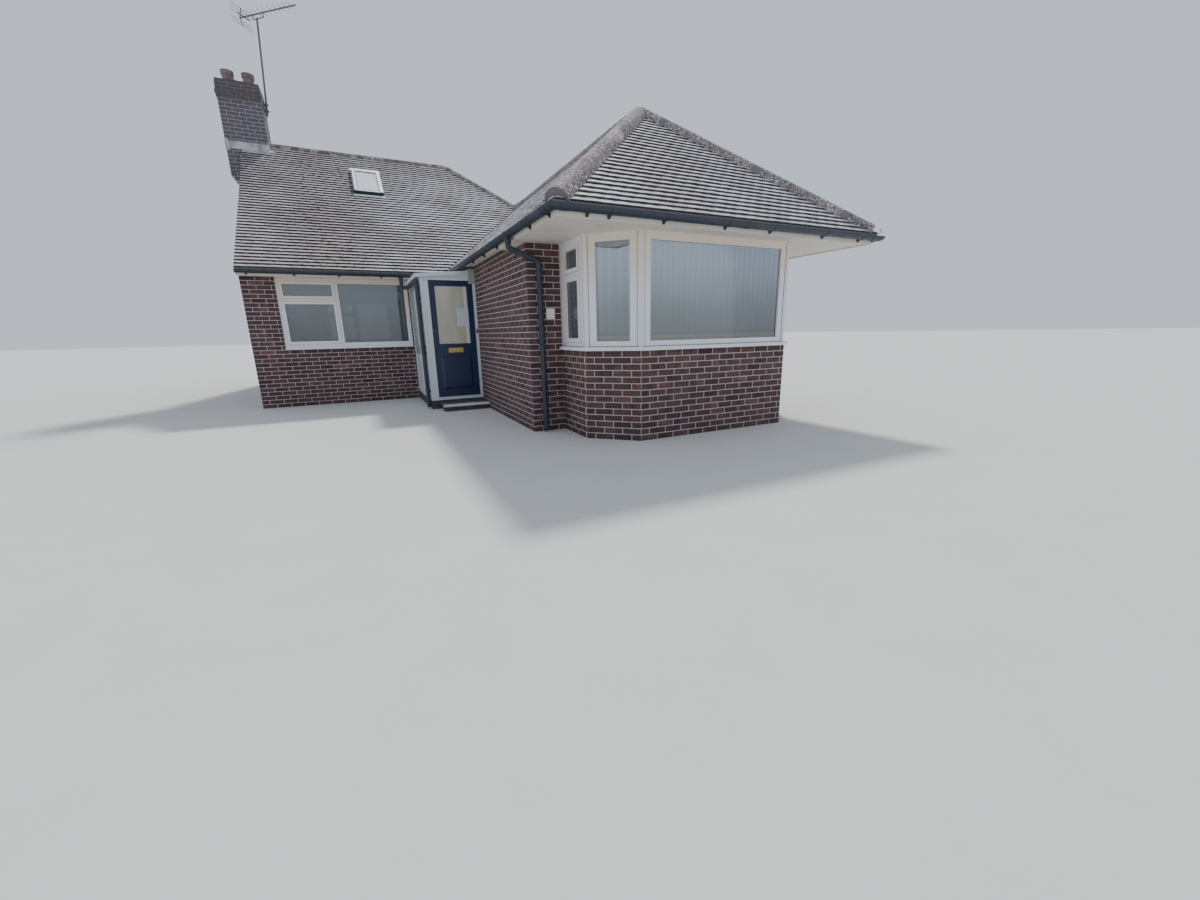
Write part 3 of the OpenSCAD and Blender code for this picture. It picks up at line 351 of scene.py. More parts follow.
recipes = {
    "roofTile": (makeRoofTile, 0.72, 0.565),
    # leftTile: a brighter, bluer wash that is partly painted sky reflection, and no painted shade on what faces
    # down
    "leftTile": (makeRoofTile, 0.8, 0.50, (0.92, 0.93, 0.99), 0.0, 0.6),
    "ridgeTile": (makeRidgeTile,),
    "mossyRidge": (makeRidgeTile, 0.9),
    "brick": (makeBrick, 0.0),
    "chimneyBrick": (makeBrick, 0.6),
    "mortar": (makeMortar, (0.62, 0.485, 0.475), 0.30),
    "chimneyMortar": (makeMortar, (0.36, 0.355, 0.38), 0.25),
    # bedding: darkened as painted shade on the mortar-filled ends of the hip and ridge tiles
    "bedding": (makeMortar, (0.16, 0.16, 0.175), 0.5),
    # plastic: the bluish base is painted sky light, and the warm share at the heads painted ground bounce light
    "plastic": (makePlastic, (0.83, 0.84, 0.90), 0.10, 0.32, 0.9),
    "porchPlastic": (makePlastic, (0.67, 0.70, 0.76), 0.18),
    "screenPlastic": (makePlastic, (0.36, 0.40, 0.38), 0.25, 0.4),
    "board": (makeBoard, (0.77, 0.715, 0.64), 9.0),
    "fasciaBoard": (makeBoard, (0.77, 0.725, 0.66)),
    "paleMetal": (makeBoard, (0.74, 0.74, 0.72)),
    # dark strips of painted shade in the gaps round the bay frames
    "seal": (makePlastic, (0.24, 0.24, 0.25), 0.3, 0.6),
    "paper": (makeBoard, (0.60, 0.64, 0.70)),
    "black": (makeBlack,),
    "darkTrim": (makeBlack,),
    "aluminium": (makeMetal, (0.16, 0.165, 0.18), 0.45),
    "steel": (makeMetal, (0.42, 0.42, 0.43), 0.4),
    "coverMetal": (makeMetal, (0.66, 0.69, 0.72), 0.5, (0.50, 0.52, 0.54)),
    "brass": (makeMetal, (0.62, 0.45, 0.17), 0.30, (0.30, 0.22, 0.10), 0.4),
    "lead": (makeLead,),
    "concrete": (makeConcrete, (0.062, 0.062, 0.066)),
    "wornConcrete": (makeConcrete, (0.66, 0.64, 0.62)),
    "plaster": (makeConcrete, (0.62, 0.60, 0.56)),
    "navy": (makePaint, (0.009, 0.021, 0.075)),
    "glass": (makeGlass, (0.60, 0.675, 0.735), (0.36, 0.38, 0.37), 0.60),
    "blindPane": (makeObscured, (0.80, 0.86, 0.91), (0.90, 0.95, 0.98)),
    "obscured": (makeObscured, (0.46, 0.445, 0.36), (0.60, 0.58, 0.48), 0.8, home[0] - 0.205, home[0] - 0.165),
    "sideGlass": (makeObscured, (0.30, 0.33, 0.30), (0.42, 0.45, 0.42)),
    "clayPot": (makeClayPot,),
    "blind": (makeBlind,),
    "glaze": (makePlastic, (0.90, 0.89, 0.87), 0.12, 0.2),
}
finishes = {name: make(name, *values) for name, (make, *values) in recipes.items()}
print("finishes:", len(finishes))


# Meshes from arrays

def addObject(name, data):
    made = bpy.data.objects.new(name, data)
    bpy.context.scene.collection.objects.link(made)
    return made


def addPiece(name, finish, *parts, body="building", slot=None, tints=None, smooth=False):
    # parts: (points, faces...) tuples, joined into one mesh; faces are arrays of corner numbers
    points, starts, corners, count, total = [], [], [], 0, 0
    for part in parts:
        points.append(np.asarray(part[0], float).reshape(-1, 3))
        for faces in part[1:]:
            corners.append((faces + count).ravel())
            starts.append(total + np.arange(len(faces)) * faces.shape[1])
            total += faces.size
        count += len(points[-1])
    starts = np.concatenate(starts).astype(np.int32)
    mesh = bpy.data.meshes.new(name)
    mesh.vertices.add(count)
    mesh.vertices.foreach_set("co", np.concatenate(points).astype(np.float32).ravel())
    mesh.loops.add(total)
    mesh.loops.foreach_set("vertex_index", np.concatenate(corners).astype(np.int32))
    mesh.polygons.add(len(starts))
    mesh.polygons.foreach_set("loop_start", starts)
    for key, values in (tints or {}).items():
        mesh.attributes.new(key, "FLOAT", "POINT").data.foreach_set("value", values.astype(np.float32))
    mesh.update(calc_edges=True)
    mesh.validate()
    mesh.polygons.foreach_set("use_smooth", np.full(len(mesh.polygons), smooth))
    if smooth:
        mesh.set_sharp_from_angle(angle=math.radians(40))
    mesh.materials.append(finishes[finish])
    piece = addObject(name, mesh)
    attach(piece, body)
    print(name, len(mesh.polygons), "faces")
    return piece


def tintEach(middle, spread, count, corners):
    # one random tint from 0 to 1 for every item, given to all its corners
    return {"tint": np.repeat(np.clip(rng.normal(middle, spread, count), 0, 1), corners)}


def unit(v):
    v = np.asarray(v, float)
    return v / np.linalg.norm(v, axis=-1, keepdims=True)


def loftMany(rings, closed=False):
    # rings (items, rings, corners, 3): every item is one solid whose rings are joined by quads,
    # capped at both ends, or run round into themselves where closed; the set is turned inside out
    # if its volume, a sixth of the sum over every face's fan of triangles, comes out negative
    items, count, k = rings.shape[:3]
    index = np.arange(items * count * k).reshape(items, count, k)
    here, after = (index, np.roll(index, -1, axis=1)) if closed else (index[:, :-1], index[:, 1:])
    ahead = [np.roll(a, -1, axis=2) for a in (here, after)]
    groups = [np.stack([here, *ahead, after], axis=-1).reshape(-1, 4)]
    if not closed:
        groups.append(np.concatenate([index[:, 0, ::-1], index[:, -1]]))
    points = rings.reshape(-1, 3)
    volume, middle = 0.0, points.mean(0)
    for faces in groups:
        fan = points[faces] - middle
        for i in range(1, faces.shape[1] - 1):
            volume += np.einsum("ij,ij->", fan[:, 0], np.cross(fan[:, i], fan[:, i + 1]))
    return (points, *(faces if volume > 0 else faces[:, ::-1] for faces in groups))


def prisms(outline, origins, across, along):
    # one outline in (across, up), run from each origin to origin + along
    outline = np.asarray(outline, float)
    given = [np.atleast_2d(np.asarray(a, float)) for a in (origins, across, along)]
    origins, across, along = np.broadcast_arrays(*given)
    base = origins[:, None] + outline[:, :1] * across[:, None] + outline[:, 1:] * [[0, 0, 1.0]]
    return loftMany(home + np.stack([base, base + along[:, None]], axis=1))


def upright(outlines, low, high, origin=home):
    # flat outlines as seen from above, each run from its low to its high
    outlines = np.asarray(outlines, float)
    rings = np.empty((len(outlines), 2, outlines.shape[1], 3))
    rings[..., :2] = outlines[:, None]
    rings[:, 0, :, 2], rings[:, 1, :, 2] = np.reshape(low, (-1, 1)), np.reshape(high, (-1, 1))
    return loftMany(origin + rings)


def boxes(*pairs, origin=home):
    # upright boxes from pairs of opposite corners
    (x0, y0, z0), (x1, y1, z1) = np.array(pairs, float).transpose(1, 2, 0)
    plan = np.stack([x0, y0, x1, y0, x1, y1, x0, y1], axis=1).reshape(-1, 4, 2)
    return upright(plan, z0, z1, origin)


def furthest(points, direction):
    return points[np.argmax(points @ np.asarray(direction, float))]


class Outline:
    # a flat outline on axes u, v and normal n, which tells how wide it is along u at any v
    def __init__(self, origin, u, n, corners):
        self.origin, self.u, self.n = np.asarray(origin, float), unit(u), unit(n)
        self.v = np.cross(self.n, self.u)
        self.corners = np.asarray(corners, float)
        flat = (self.corners - self.origin) @ np.stack([self.u, self.v], axis=1)
        around = flat - flat.mean(0)
        self.loops = [flat[np.argsort(np.arctan2(around[:, 1], around[:, 0]))]]

    def join(self, other):
        self.loops += other.loops
        self.corners = np.concatenate([self.corners, other.corners])
        return self

    def span(self, v):
        # lowest and highest u at each v, by cutting every edge of the loops with the line of that v
        low, high = np.full(v.shape, np.inf), np.full(v.shape, -np.inf)
        for loop in self.loops:
            for (u0, v0), (u1, v1) in zip(loop, np.roll(loop, -1, axis=0)):
                if abs(v1 - v0) < 1e-6:
                    continue
                t = (v - v0) / (v1 - v0)
                inside = (t >= 0) & (t <= 1)
                cut = u0 + (u1 - u0) * t
                low = np.where(inside, np.minimum(low, cut), low)
                high = np.where(inside, np.maximum(high, cut), high)
        return low, high

    def reach(self):
        flat = np.concatenate(self.loops)
        return flat.min(0), flat.max(0)

    def courses(self, rows, across, width, joint, phase=0):
        # broken bond: left edges of the pieces, every other course half a piece back
        row, col = np.meshgrid(np.arange(rows), np.arange(across), indexing="ij")
        return row, self.reach()[0][0] + (col - 0.5 * ((row + phase) % 2)) * width + joint / 2

    def cut(self, v, left, right, gapLow=0.0, gapHigh=0.0):
        # where pieces from left to right start and end at v, so that they stay inside by the gaps
        low, high = self.span(np.clip(v, self.reach()[0][1] + 1e-4, self.reach()[1][1] - 1e-4))
        return [np.clip(u, low + gapLow, high - gapHigh) for u in (left, right)]

    def at(self, u, v, h):
        u, v, h = (a[..., None] for a in np.broadcast_arrays(u, v, h))
        return self.origin + u * self.u + v * self.v + h * self.n


def roofPlane(*names):
    # the upper face of one or more roof nodes that lie in one plane; its outer corners are those
    # that lead in some direction
    made = None
    turns = np.radians(np.arange(0.5, 360.0, 1.0))
    for name in names:
        mesh = nodes[name].data
        points = np.array([v.co for v in mesh.vertices])
        up = [p for p in mesh.polygons if 0.5 < p.normal.z < 0.99]
        n = np.array(up[0].normal)
        face = points[sorted({i for p in up for i in p.vertices})]
        across = unit(np.cross([0, 0, 1.0], n))
        flat = np.stack([face @ across, face @ np.cross(n, across)], axis=1)
        lead = np.argmax(flat @ np.stack([np.cos(turns), np.sin(turns)]), axis=0)
        origin = made.origin if made else furthest(face, -across - np.array([0, 0, 5.0]))
        outline = Outline(origin, across, n, face[np.unique(lead)])
        made = made.join(outline) if made else outline
    return made


# Roof

tileSize = {"width": 0.165, "gauge": 0.103, "overlap": 0.036, "thick": 0.014, "step": 0.0155,
            "front": 0.0205, "joint": 0.0016, "camber": 0.002, "bevel": 0.003, "ragged": 0.0009,
            "spread": 0.15, "slip": 0.0008, "creep": 0.0013, "least": 0.012, "leastRow": 0.03, "edge": 0.002}
planes = {
    "mainFront": roofPlane("main_roof_front"),
    "mainRear": roofPlane("main_roof_rear"),
    "right": roofPlane("wing_roof_right", "main_roof_right"),
    "wingLeft": roofPlane("wing_roof_left"),
    "wingFront": roofPlane("wing_roof_front"),
}
lightSpan = {"left": -1.588, "right": -1.008, "foot": 2.8537, "head": 3.8737, "front": 6.65, "back": 7.46}
lightHole = home[:2] + [[lightSpan["left"], lightSpan["front"]], [lightSpan["right"], lightSpan["back"]]]
stackHole = home[:2] + [[-4.0, 7.73], [-3.065, 8.64]]


def layTiles(name, plane, gapLow, gapHigh, holes=(), finish="roofTile", **change):
    # broken-bond courses of cambered slabs: a tile falls by one step for every gauge of its length,
    # so that its back dips under the course above; it is cut to the outline at its own front and
    # back, and left out where its middle lies in one of the holes
    s = {**tileSize, **change}
    (uMin, vMin), (uMax, vMax) = plane.reach()
    rows, across = int((vMax - vMin - s["leastRow"]) / s["gauge"]), int((uMax - uMin) / s["width"]) + 2
    row, left = plane.courses(rows, across, s["width"], s["joint"])
    left = left + rng.normal(0, s["slip"], row.shape)
    front = vMin + row * s["gauge"] + rng.normal(0, s["creep"], row.shape) * (row > 0)
    back = np.minimum(front + s["gauge"] + s["overlap"], vMax - s["edge"])
    right = left + s["width"] - s["joint"]
    edges = [plane.cut(v, left, right, gapLow, gapHigh) for v in (front, back)]
    keep = edges[0][1] - edges[0][0] > s["least"]
    middle = plane.at(left + s["width"] / 2, front + s["gauge"] / 2, 0.0)[..., :2]
    for low, high in holes:
        keep &= ~np.all((middle > low) & (middle < high), axis=-1)
    (l0, r0), (l1, r1) = ((a[keep, None], b[keep, None]) for a, b in edges)
    front, back = front[keep, None], back[keep, None]
    count = len(front)
    lift = np.abs(rng.normal(0, s["ragged"], count))
    lean = rng.normal(0, s["slip"], count)
    share = np.array([0.0, 0.33, 0.67, 1.0])
    crown = s["camber"] * (1 - (2 * share - 1) ** 2)
    top = s["front"] + lift[:, None] + lean[:, None] * (share - 0.5) + crown - s["camber"]
    low = top - s["step"] * (1 + s["overlap"] / s["gauge"])
    uFront, uBack = l0 + (r0 - l0) * share, l1 + np.maximum(r1 - l1, s["edge"]) * share
    rings = np.stack([plane.at(*spot) for spot in (
        (uFront, front, top - s["thick"]), (uFront, front, top - s["bevel"]), (uFront, front + s["bevel"], top),
        (uBack, back, low), (uBack, back, low - s["thick"]))], axis=2)
    tints = tintEach(0.50, s["spread"], count, 20)
    # upper is 1 at each tile's back corners, where the painted shade of the course above falls
    tints["upper"] = np.tile([0.0, 0.0, 0.0, 1.0, 1.0], 4 * count)
    addPiece(name, finish, loftMany(rings), slot="roof_tile", tints=tints)


verge = 0.012
layTiles("mainFrontTiles", planes["mainFront"], 0.0, verge, [lightHole, stackHole],
         thick=0.018, step=0.020, front=0.025)
layTiles("mainRearTiles", planes["mainRear"], verge, 0.0, [stackHole])
layTiles("rightTiles", planes["right"], verge, verge)
layTiles("wingLeftTiles", planes["wingLeft"], verge, verge, (), "leftTile",
         thick=0.009, step=0.009, front=0.014, ragged=0.0030, spread=0.5)
layTiles("wingFrontTiles", planes["wingFront"], verge, verge)

capSize = {"length": 0.45, "joint": 0.004, "ease": 0.004, "easeRun": 0.003, "jitter": 0.0008, "swell": 0.6,
           "arc": 112.0, "corners": 21, "wing": (0.120, 0.050), "main": (0.102, 0.062),  # (radius, drop)
           "foot": 0.110, "tip": 0.03, "stackGap": 0.012, "meetGap": 0.01}
bedSize = {"length": 0.11, "joint": -0.012, "jitter": 0.001, "under": 0.0015, "back": 0.006}


def capRun(start, end, radius, drop, length, joint, jitter):
    # half-round sections in a row: an arc round the axis, closed below, with eased ends
    axis = unit(end - start)
    up = unit(np.array([0, 0, 1.0]) - axis * axis[2])
    side = np.cross(axis, up)
    total, run = np.linalg.norm(end - start), capSize["easeRun"]
    count = max(1, round(total / length))
    pace = total / count
    turn = np.radians(np.linspace(-capSize["arc"], capSize["arc"], capSize["corners"]))[:, None]
    rings = []
    for along, shrink in (0, 1), (run, 0), (pace - joint - run, 0), (pace - joint, 1):
        r = (radius - shrink * capSize["ease"] + rng.normal(0, jitter * capSize["swell"], count))[:, None, None]
        shift = rng.normal(0, jitter, (count, 2))
        at = start + axis * (np.arange(count)[:, None] * pace + along) - np.array([0, 0, drop])
        at = at + side * shift[:, :1] + up * shift[:, 1:]
        rings.append(at[:, None] + r * (np.sin(turn) * side + np.cos(turn) * up))
    return np.stack(rings, axis=1)


def runOfCaps():
    # caps along the wing's ridge and hips, the main ridge and hips, and the mortar bed under all
    front, main, rear = (planes[k].corners for k in ("wingFront", "mainFront", "mainRear"))
    s, b = capSize, bedSize
    apex = furthest(front, (0, 0, 1))
    meet, hip = furthest(main, (1, 0, 0)), furthest(main, (1, 0, 2))
    byStack = np.array([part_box("chimney_stack")[1][0] - s["stackGap"], hip[1], hip[2]])
    left, right, back = furthest(front, (-1, -1, -1)), furthest(front, (1, -1, -1)), furthest(rear, (1, 1, -1))
    lines = [("wing", low + unit(apex - low) * s["foot"], apex - unit(apex - low) * s["tip"])
             for low in (left, right)]
    lines += [("main", low + unit(hip - low) * inset, hip - unit(hip - low) * s["tip"])
              for low, inset in ((back, s["foot"]), (meet, s["tip"]))]
    lines.append(("wing", apex + np.array([0, s["tip"], 0]), meet - np.array([0, s["meetGap"], 0])))
    lines.append(("main", byStack, hip - np.array([s["tip"], 0, 0])))
    runs = {"wing": [], "main": [], "bed": []}
    for part, start, end in lines:
        radius, drop = s[part]
        runs[part].append(capRun(start, end, radius, drop, s["length"], s["joint"], s["jitter"]))
        runs["bed"].append(capRun(start - unit(end - start) * b["back"], end, radius - b["under"], drop,
                                  b["length"], b["joint"], b["jitter"]))
    return [np.concatenate(rings) for rings in runs.values()]


wingCaps, mainCaps, capBeds = runOfCaps()
capCorners = 4 * capSize["corners"]
caps = addPiece("ridgeAndHipTiles", "ridgeTile", loftMany(wingCaps), slot="ridge_tile",
                tints=tintEach(0.55, 0.2, len(wingCaps), capCorners), smooth=True)
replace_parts(caps, "ridge_tiles", "hip_tiles")
addPiece("mainRidgeTiles", "mossyRidge", loftMany(mainCaps), slot="ridge_tile",
         tints=tintEach(0.45, 0.2, len(mainCaps), capCorners), smooth=True)
addPiece("capBedding", "bedding", loftMany(capBeds), slot="ridge_tile")


# Walls

eave = {"left": -0.17, "right": 4.26, "front": -1.45, "main": 4.45, "rear": 11.70, "soffit": 2.33,
        "highSoffit": 2.395, "step": 0.65, "board": 0.022, "over": 0.045, "pitch": 39.3, "top": 2.47}
brickSize = {"course": 0.075, "length": 0.225, "joint": 0.010, "proud": 0.0013, "bevel": 0.0009,
             "back": 0.003, "uneven": 0.00015, "least": 0.012, "shortest": 0.02, "sliver": 0.004, "near": 0.03,
             "underHead": 0.02, "atEnd": 0.006, "turnOut": 0.00117, "turnIn": -0.002, "slant": 0.000455}


def layBricks(start, end, loop, openings=(), turnLow=0.0, turnHigh=0.0, phase=0):
    # stretcher bond on one wall face: start and end are its foot, loop its outline in (along,
    # height); openings are (low along, low height, high along, high height); turnLow and turnHigh
    # let the end bricks stand past a corner, and phase 1 moves the bond by half a brick
    s, near = brickSize, brickSize["near"]
    start, end, loop = home + [*start, 0.0], home + [*end, 0.0], np.array(loop)
    along = unit(end - start)
    face = Outline(start, along, np.cross(along, [0, 0, 1.0]),
                   start + loop[:, :1] * along + loop[:, 1:] * [[0, 0, 1.0]])
    (uMin, _), (uMax, vMax) = face.reach()
    rows, across = math.ceil((vMax - s["joint"]) / s["course"]), int((uMax - uMin) / s["length"]) + 3
    row, left = face.courses(rows, across, s["length"], s["joint"], phase)
    right = left + s["length"] - s["joint"]
    low = row * s["course"] + s["joint"] / 2
    high = np.minimum(low + s["course"] - s["joint"], vMax)
    keep = high - low > s["least"]
    for u0, v0, u1, v1 in openings:
        level = (low < v1 - s["underHead"]) & (high > v0 + near)
        high = np.where((low < v0) & (high > v0) & (right > u0) & (left < u1), np.minimum(high, v0), high)
        keep &= ~(level & (left >= u0 - near) & (right <= u1 + near))
        right = np.where(level & (left < u0) & (right > u0), u0, right)
        left = np.where(level & (right > u1) & (left < u1), u1, left)
    ends = [face.cut(v, left, right) for v in (low, high)]
    keep &= ends[0][1] - ends[0][0] > s["shortest"]
    corners = []
    for a, b in ends:
        a, b = a[keep], b[keep]
        a = np.where(a <= uMin + s["atEnd"], a - turnLow, a)
        b = np.where(b >= uMax - s["atEnd"], b + turnHigh, b)
        corners.append((a, np.maximum(b, a + s["sliver"])))
    (a0, b0), (a1, b1) = corners
    low, high = low[keep], high[keep]
    proud = s["proud"] + rng.normal(0, s["uneven"], len(low))
    rings = []
    for inset, w in ((0.0, 0.0 * proud - s["back"]), (0.0, proud - s["bevel"]), (s["bevel"], proud)):
        quad = [(a0 + inset, low + inset), (b0 - inset, low + inset), (b1 - inset, high - inset),
                (a1 + inset, high - inset)]
        rings.append(np.stack([face.at(u, v, w) for u, v in quad], axis=1))
    return np.stack(rings, axis=1)


def rectangle(x0, y0, x1, y1):
    return [(x0, y0), (x1, y0), (x1, y1), (x0, y1)]


def wallPiece(name, faces, finish, slot):
    rings = np.concatenate(faces)
    addPiece(name, finish, loftMany(rings), slot=slot, tints=tintEach(0.5, 0.22, len(rings), 12))


def reachOf(node):
    # a node's corners, measured from home
    return [np.array(c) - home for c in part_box(node)]


soffitZ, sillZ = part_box("soffit_boards")[0][2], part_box("bay_wall")[1][2]
wingWidth, houseBack = reachOf("right_wall")[1][:2]
houseLeft, partyTop = reachOf("party_wall")[0][0], reachOf("party_wall")[1][2]
wingReach = reachOf("main_front_wall")[0][1]
baySide, bayReach = reachOf("bay_wall")[0][:2] * [1, -1]
bayCut = 0.48
bayReturn = bayReach - bayCut
windowAt = {"main": tuple(c[0] for c in reachOf("main_window_frame")), "right": [(1.7, 2.9), (7.6, 8.8)],
            "rear": [(-2.7, -0.9), (2.0, 3.2)]}
doorAt = {"front": (-0.8, -0.1), "back": (0.35, 1.21), "foot": 0.2, "head": 2.2}


def wallFaces():
    w, b, c, r, back, left = wingWidth, baySide, bayCut, bayReturn, houseBack, houseLeft
    turnOut, turnIn, slant = (brickSize[k] for k in ("turnOut", "turnIn", "slant"))
    step, high = wingReach - eave["step"], eave["highSoffit"]  # the left soffit steps up here
    wing = [(0, 0), (wingReach, 0), (wingReach, soffitZ), (step, soffitZ), (step, high), (0, high)]
    bay = [(b, 0), (b, -r), (b + c, -r - c), (w - b - c, -r - c), (w - b, -r), (w - b, 0)]
    turns = [turnIn, *[slant] * 8, turnIn]
    depth, foot, head = back - wingReach, doorAt["foot"], doorAt["head"]
    gable = [(0, 0), (depth, 0), (depth, soffitZ + 0.1), (depth / 2, partyTop), (0, soffitZ + 0.1)]
    window = (windowAt["main"][0] - left, sillZ, windowAt["main"][1] - left, soffitZ)
    doorway = (doorAt["front"][0] - left, foot, doorAt["front"][1] - left, head)
    sideHoles = [(u0, sillZ, u1, soffitZ) for u0, u1 in windowAt["right"]]
    rearHoles = [(w - u1, sillZ, w - u0, soffitZ) for u0, u1 in windowAt["rear"]]
    rearHoles.append((w - doorAt["back"][1], foot, w - doorAt["back"][0], head))
    rows = {
        "wing": [((0, wingReach), (0, 0), wing, (), turnIn, turnOut),
                 ((0, 0), (b, 0), rectangle(0, 0, b, soffitZ), (), turnOut, turnIn, 1),
                 ((w - b, 0), (w, 0), rectangle(0, 0, b, soffitZ), (), turnIn, turnOut)],
        "bay": [(p, q, rectangle(0, 0, math.dist(p, q), sillZ), (), turns[2 * i], turns[2 * i + 1], i % 2)
                for i, (p, q) in enumerate(zip(bay, bay[1:]))],
        "main": [((left, wingReach), (0, wingReach), rectangle(0, 0, -left, soffitZ), (window, doorway),
                  turnOut, turnIn)],
        "right": [((w, 0), (w, back), rectangle(0, 0, back, soffitZ), sideHoles, turnOut, turnOut, 1)],
        "rear": [((w, back), (left, back), rectangle(0, 0, w - left, soffitZ), rearHoles, turnOut, turnOut)],
        "party": [((left, back), (left, wingReach), gable, (), turnOut, turnOut, 1)],
    }
    return {name: [layBricks(*row) for row in faces] for name, faces in rows.items()}


for name, faces in wallFaces().items():
    wallPiece(name + "Bricks", faces, "brick", "brick")

stackSize = {"at": (-3.5325, 8.185), "half": (0.385, 0.375), "top": 6.45, "shaft": 4.75, "foot": 4.3,
             "lips": (0.008, 0.008, 0.025, 0.012), "party": 0.1075, "corbels": 5, "turn": (-0.0005, 0.0010),
             "clear": 0.01}


def stackRing(x, y, z0, z1, phase):
    # four faces of bricks round the stack, half x and y wide
    cx, cy = stackSize["at"]
    ring = [(cx - x, cy - y), (cx + x, cy - y), (cx + x, cy + y), (cx - x, cy + y)]
    faces = []
    for i, (p, q) in enumerate(zip(ring, ring[1:] + ring[:1])):
        face = rectangle(0, 0, math.dist(p, q), z1 - z0)
        faces.append(layBricks(p, q, face, (), *stackSize["turn"], (i + phase) % 2) + [0, 0, z0])
    return np.concatenate(faces)


def stackFaces():
    # the oversailing courses at the top, the shaft, and the corbels that grow out of the party
    # wall; bricks that would lie inside the loft, under the main roof's tiles, are dropped
    s, course = stackSize, brickSize["course"]
    x, y = s["half"]
    faces = [stackRing(x + lip, y + lip, s["top"] - course * (i + 1), s["top"] - course * i, i)
             for i, lip in enumerate(s["lips"])]
    shaftTop = s["top"] - course * len(s["lips"])
    rows = math.ceil((shaftTop - s["shaft"]) / course)
    shaft = stackRing(x, y, shaftTop - course * rows, shaftTop, 0)
    faces.append(np.maximum(shaft, [-np.inf, -np.inf, s["shaft"]]))
    out = (x - s["party"]) / s["corbels"]
    for i in range(1, s["corbels"] + 1):
        z = s["foot"] + course * i
        faces.append(stackRing(s["party"] + out * i, y, z, z + course, i))
    rings = np.clip(np.concatenate(faces), *cadBounds)
    x, y, _ = (rings.mean(axis=(1, 2)) - home).T
    roof = eave["top"] + math.tan(math.radians(eave["pitch"])) * np.minimum(y - eave["main"], eave["rear"] - y)
    keep = (x < houseLeft + s["clear"]) | (rings[..., 2].max(axis=(1, 2)) > roof + s["clear"])
    return [rings[keep]]


wallPiece("stackBricks", stackFaces(), "chimneyBrick", "chimney_brick")


# Eaves

gutter = {"out": 0.060, "z": 2.398, "shell": 0.0595, "inside": 0.054, "foot": 2.316, "clip": 0.028,
          "union": 0.060, "outlet": 0.130}
gutterRuns = [  # start, direction, outwards, clips and unions
    ((eave["left"], eave["front"]), (1, 0), (0, -1), [0.309, 0.543, 1.175, 1.971, 2.633, 3.497, 4.16],
     [0.05, 2.25, 4.36]),
    ((eave["left"], eave["main"]), (0, -1), (-1, 0), [0.5, 1.1, 1.75, 2.419, 3.131, 3.844, 5.177, 5.75],
     [2.72, 5.85]),
    ((houseLeft, eave["main"]), (1, 0), (0, -1), [0.15, 0.85, 1.55, 2.25, 2.95], [1.95, 3.35]),
    ((eave["right"], eave["front"]), (0, 1), (1, 0), np.arange(0.35, 13.0, 0.82), [0.05, 4.05, 8.1, 13.1]),
    ((eave["right"], eave["rear"]), (-1, 0), (0, 1), np.arange(0.35, 7.8, 0.82), [0.05, 3.9]),
]
pipe = {"radius": 0.034, "socket": 0.0395, "bend": 0.075, "sides": 20, "outlet": (2.347, 2.29, 2.285),
        "clip": 0.026, "ear": (0.060, 0.022), "wall": (0.030, 0.045), "lip": 0.004, "taper": 0.012}
pipeRuns = [  # path, side, sockets, clips and the way to the wall
    ([(-0.23, -0.06, 2.302), (-0.23, -0.06, 2.237), (0.142, -0.046, 2.112), (0.142, -0.046, 0.04)],
     (0, 1, 0), [(2.085, 2.03), (1.20, 1.14)], [1.98, 1.30, 0.38], (0, 1, 0)),
    ([(-1.05, 4.39, 2.302), (-1.05, 4.39, 2.15), (-0.946, 4.20, 2.145), (-0.946, 2.91, 2.14),
      (-0.946, 2.91, 0.04)], (1, 0, 0), [(2.06, 2.00), (1.10, 1.05)], [1.85, 0.95, 0.30], (1, 0, 0)),
    ([(3.72, 11.76, 2.302), (3.72, 11.76, 2.237), (3.72, 11.496, 2.112), (3.72, 11.496, 0.04)],
     (1, 0, 0), [(2.085, 2.03), (1.20, 1.14)], [1.98, 1.30, 0.38], (0, -1, 0)),
]


def gutterArc(radius, start, end, steps):
    # an arc round the gutter's middle, in (out from the fascia, height)
    turn = np.radians(np.linspace(start, end, steps))
    return np.stack([gutter["out"] + radius * np.cos(turn), gutter["z"] + radius * np.sin(turn)], axis=1)


def gutterFittings():
    # clips go round the outside of the gutter, back up the board and round the inside; unions and
    # outlets are half rings just outside it
    g = gutter
    clip = np.concatenate([gutterArc(g["shell"], 0, -115, 14), [[0.0, g["foot"]], [0.0, g["z"]]],
                           gutterArc(g["inside"], -180, 0, 16)])
    band = np.concatenate([gutterArc(g["shell"], 0, -180, 19), gutterArc(g["inside"], 0, -180, 19)[::-1]])
    parts = []
    for start, along, out, clips, unions in gutterRuns:
        start, along, out = (np.array([*a, 0.0]) for a in (start, along, out))
        handed = along * np.sign(np.cross(out, along)[2])
        for places, width, profile in ((clips, g["clip"], clip), (unions, g["union"], band)):
            origins = start + np.array(places)[:, None] * along - handed * width / 2
            parts.append(prisms(profile, origins, out, handed * width))
    for path, side, *_ in pipeRuns:
        along = np.array(side) * g["outlet"]
        start = np.array([*path[0][:2], 0.0]) - along / 2
        parts.append(prisms(band - [g["out"], 0.0], start, np.array(side)[[1, 0, 2]], along))
    return [(np.clip(part[0], *cadBounds), *part[1:]) for part in parts]


addPiece("gutterFittings", "black", *gutterFittings(), slot="gutter_black", smooth=True)


def bent(points, radius, steps=7):
    # a path through points whose corners are eased: each one is replaced by the parabola that
    # touches both legs at a distance of radius from it, or nearly half the leg where it is short
    points = np.asarray(points, float)
    path = [points[0]]
    t = np.linspace(0, 1, steps)[:, None]
    for before, at, after in zip(points, points[1:], points[2:]):
        reach = min(radius, 0.48 * np.linalg.norm(at - before), 0.48 * np.linalg.norm(after - at))
        a, b = at + unit(before - at) * reach, at + unit(after - at) * reach
        path.extend((1 - t) ** 2 * a + 2 * t * (1 - t) * at + t ** 2 * b)
    return np.array([*path, points[-1]])


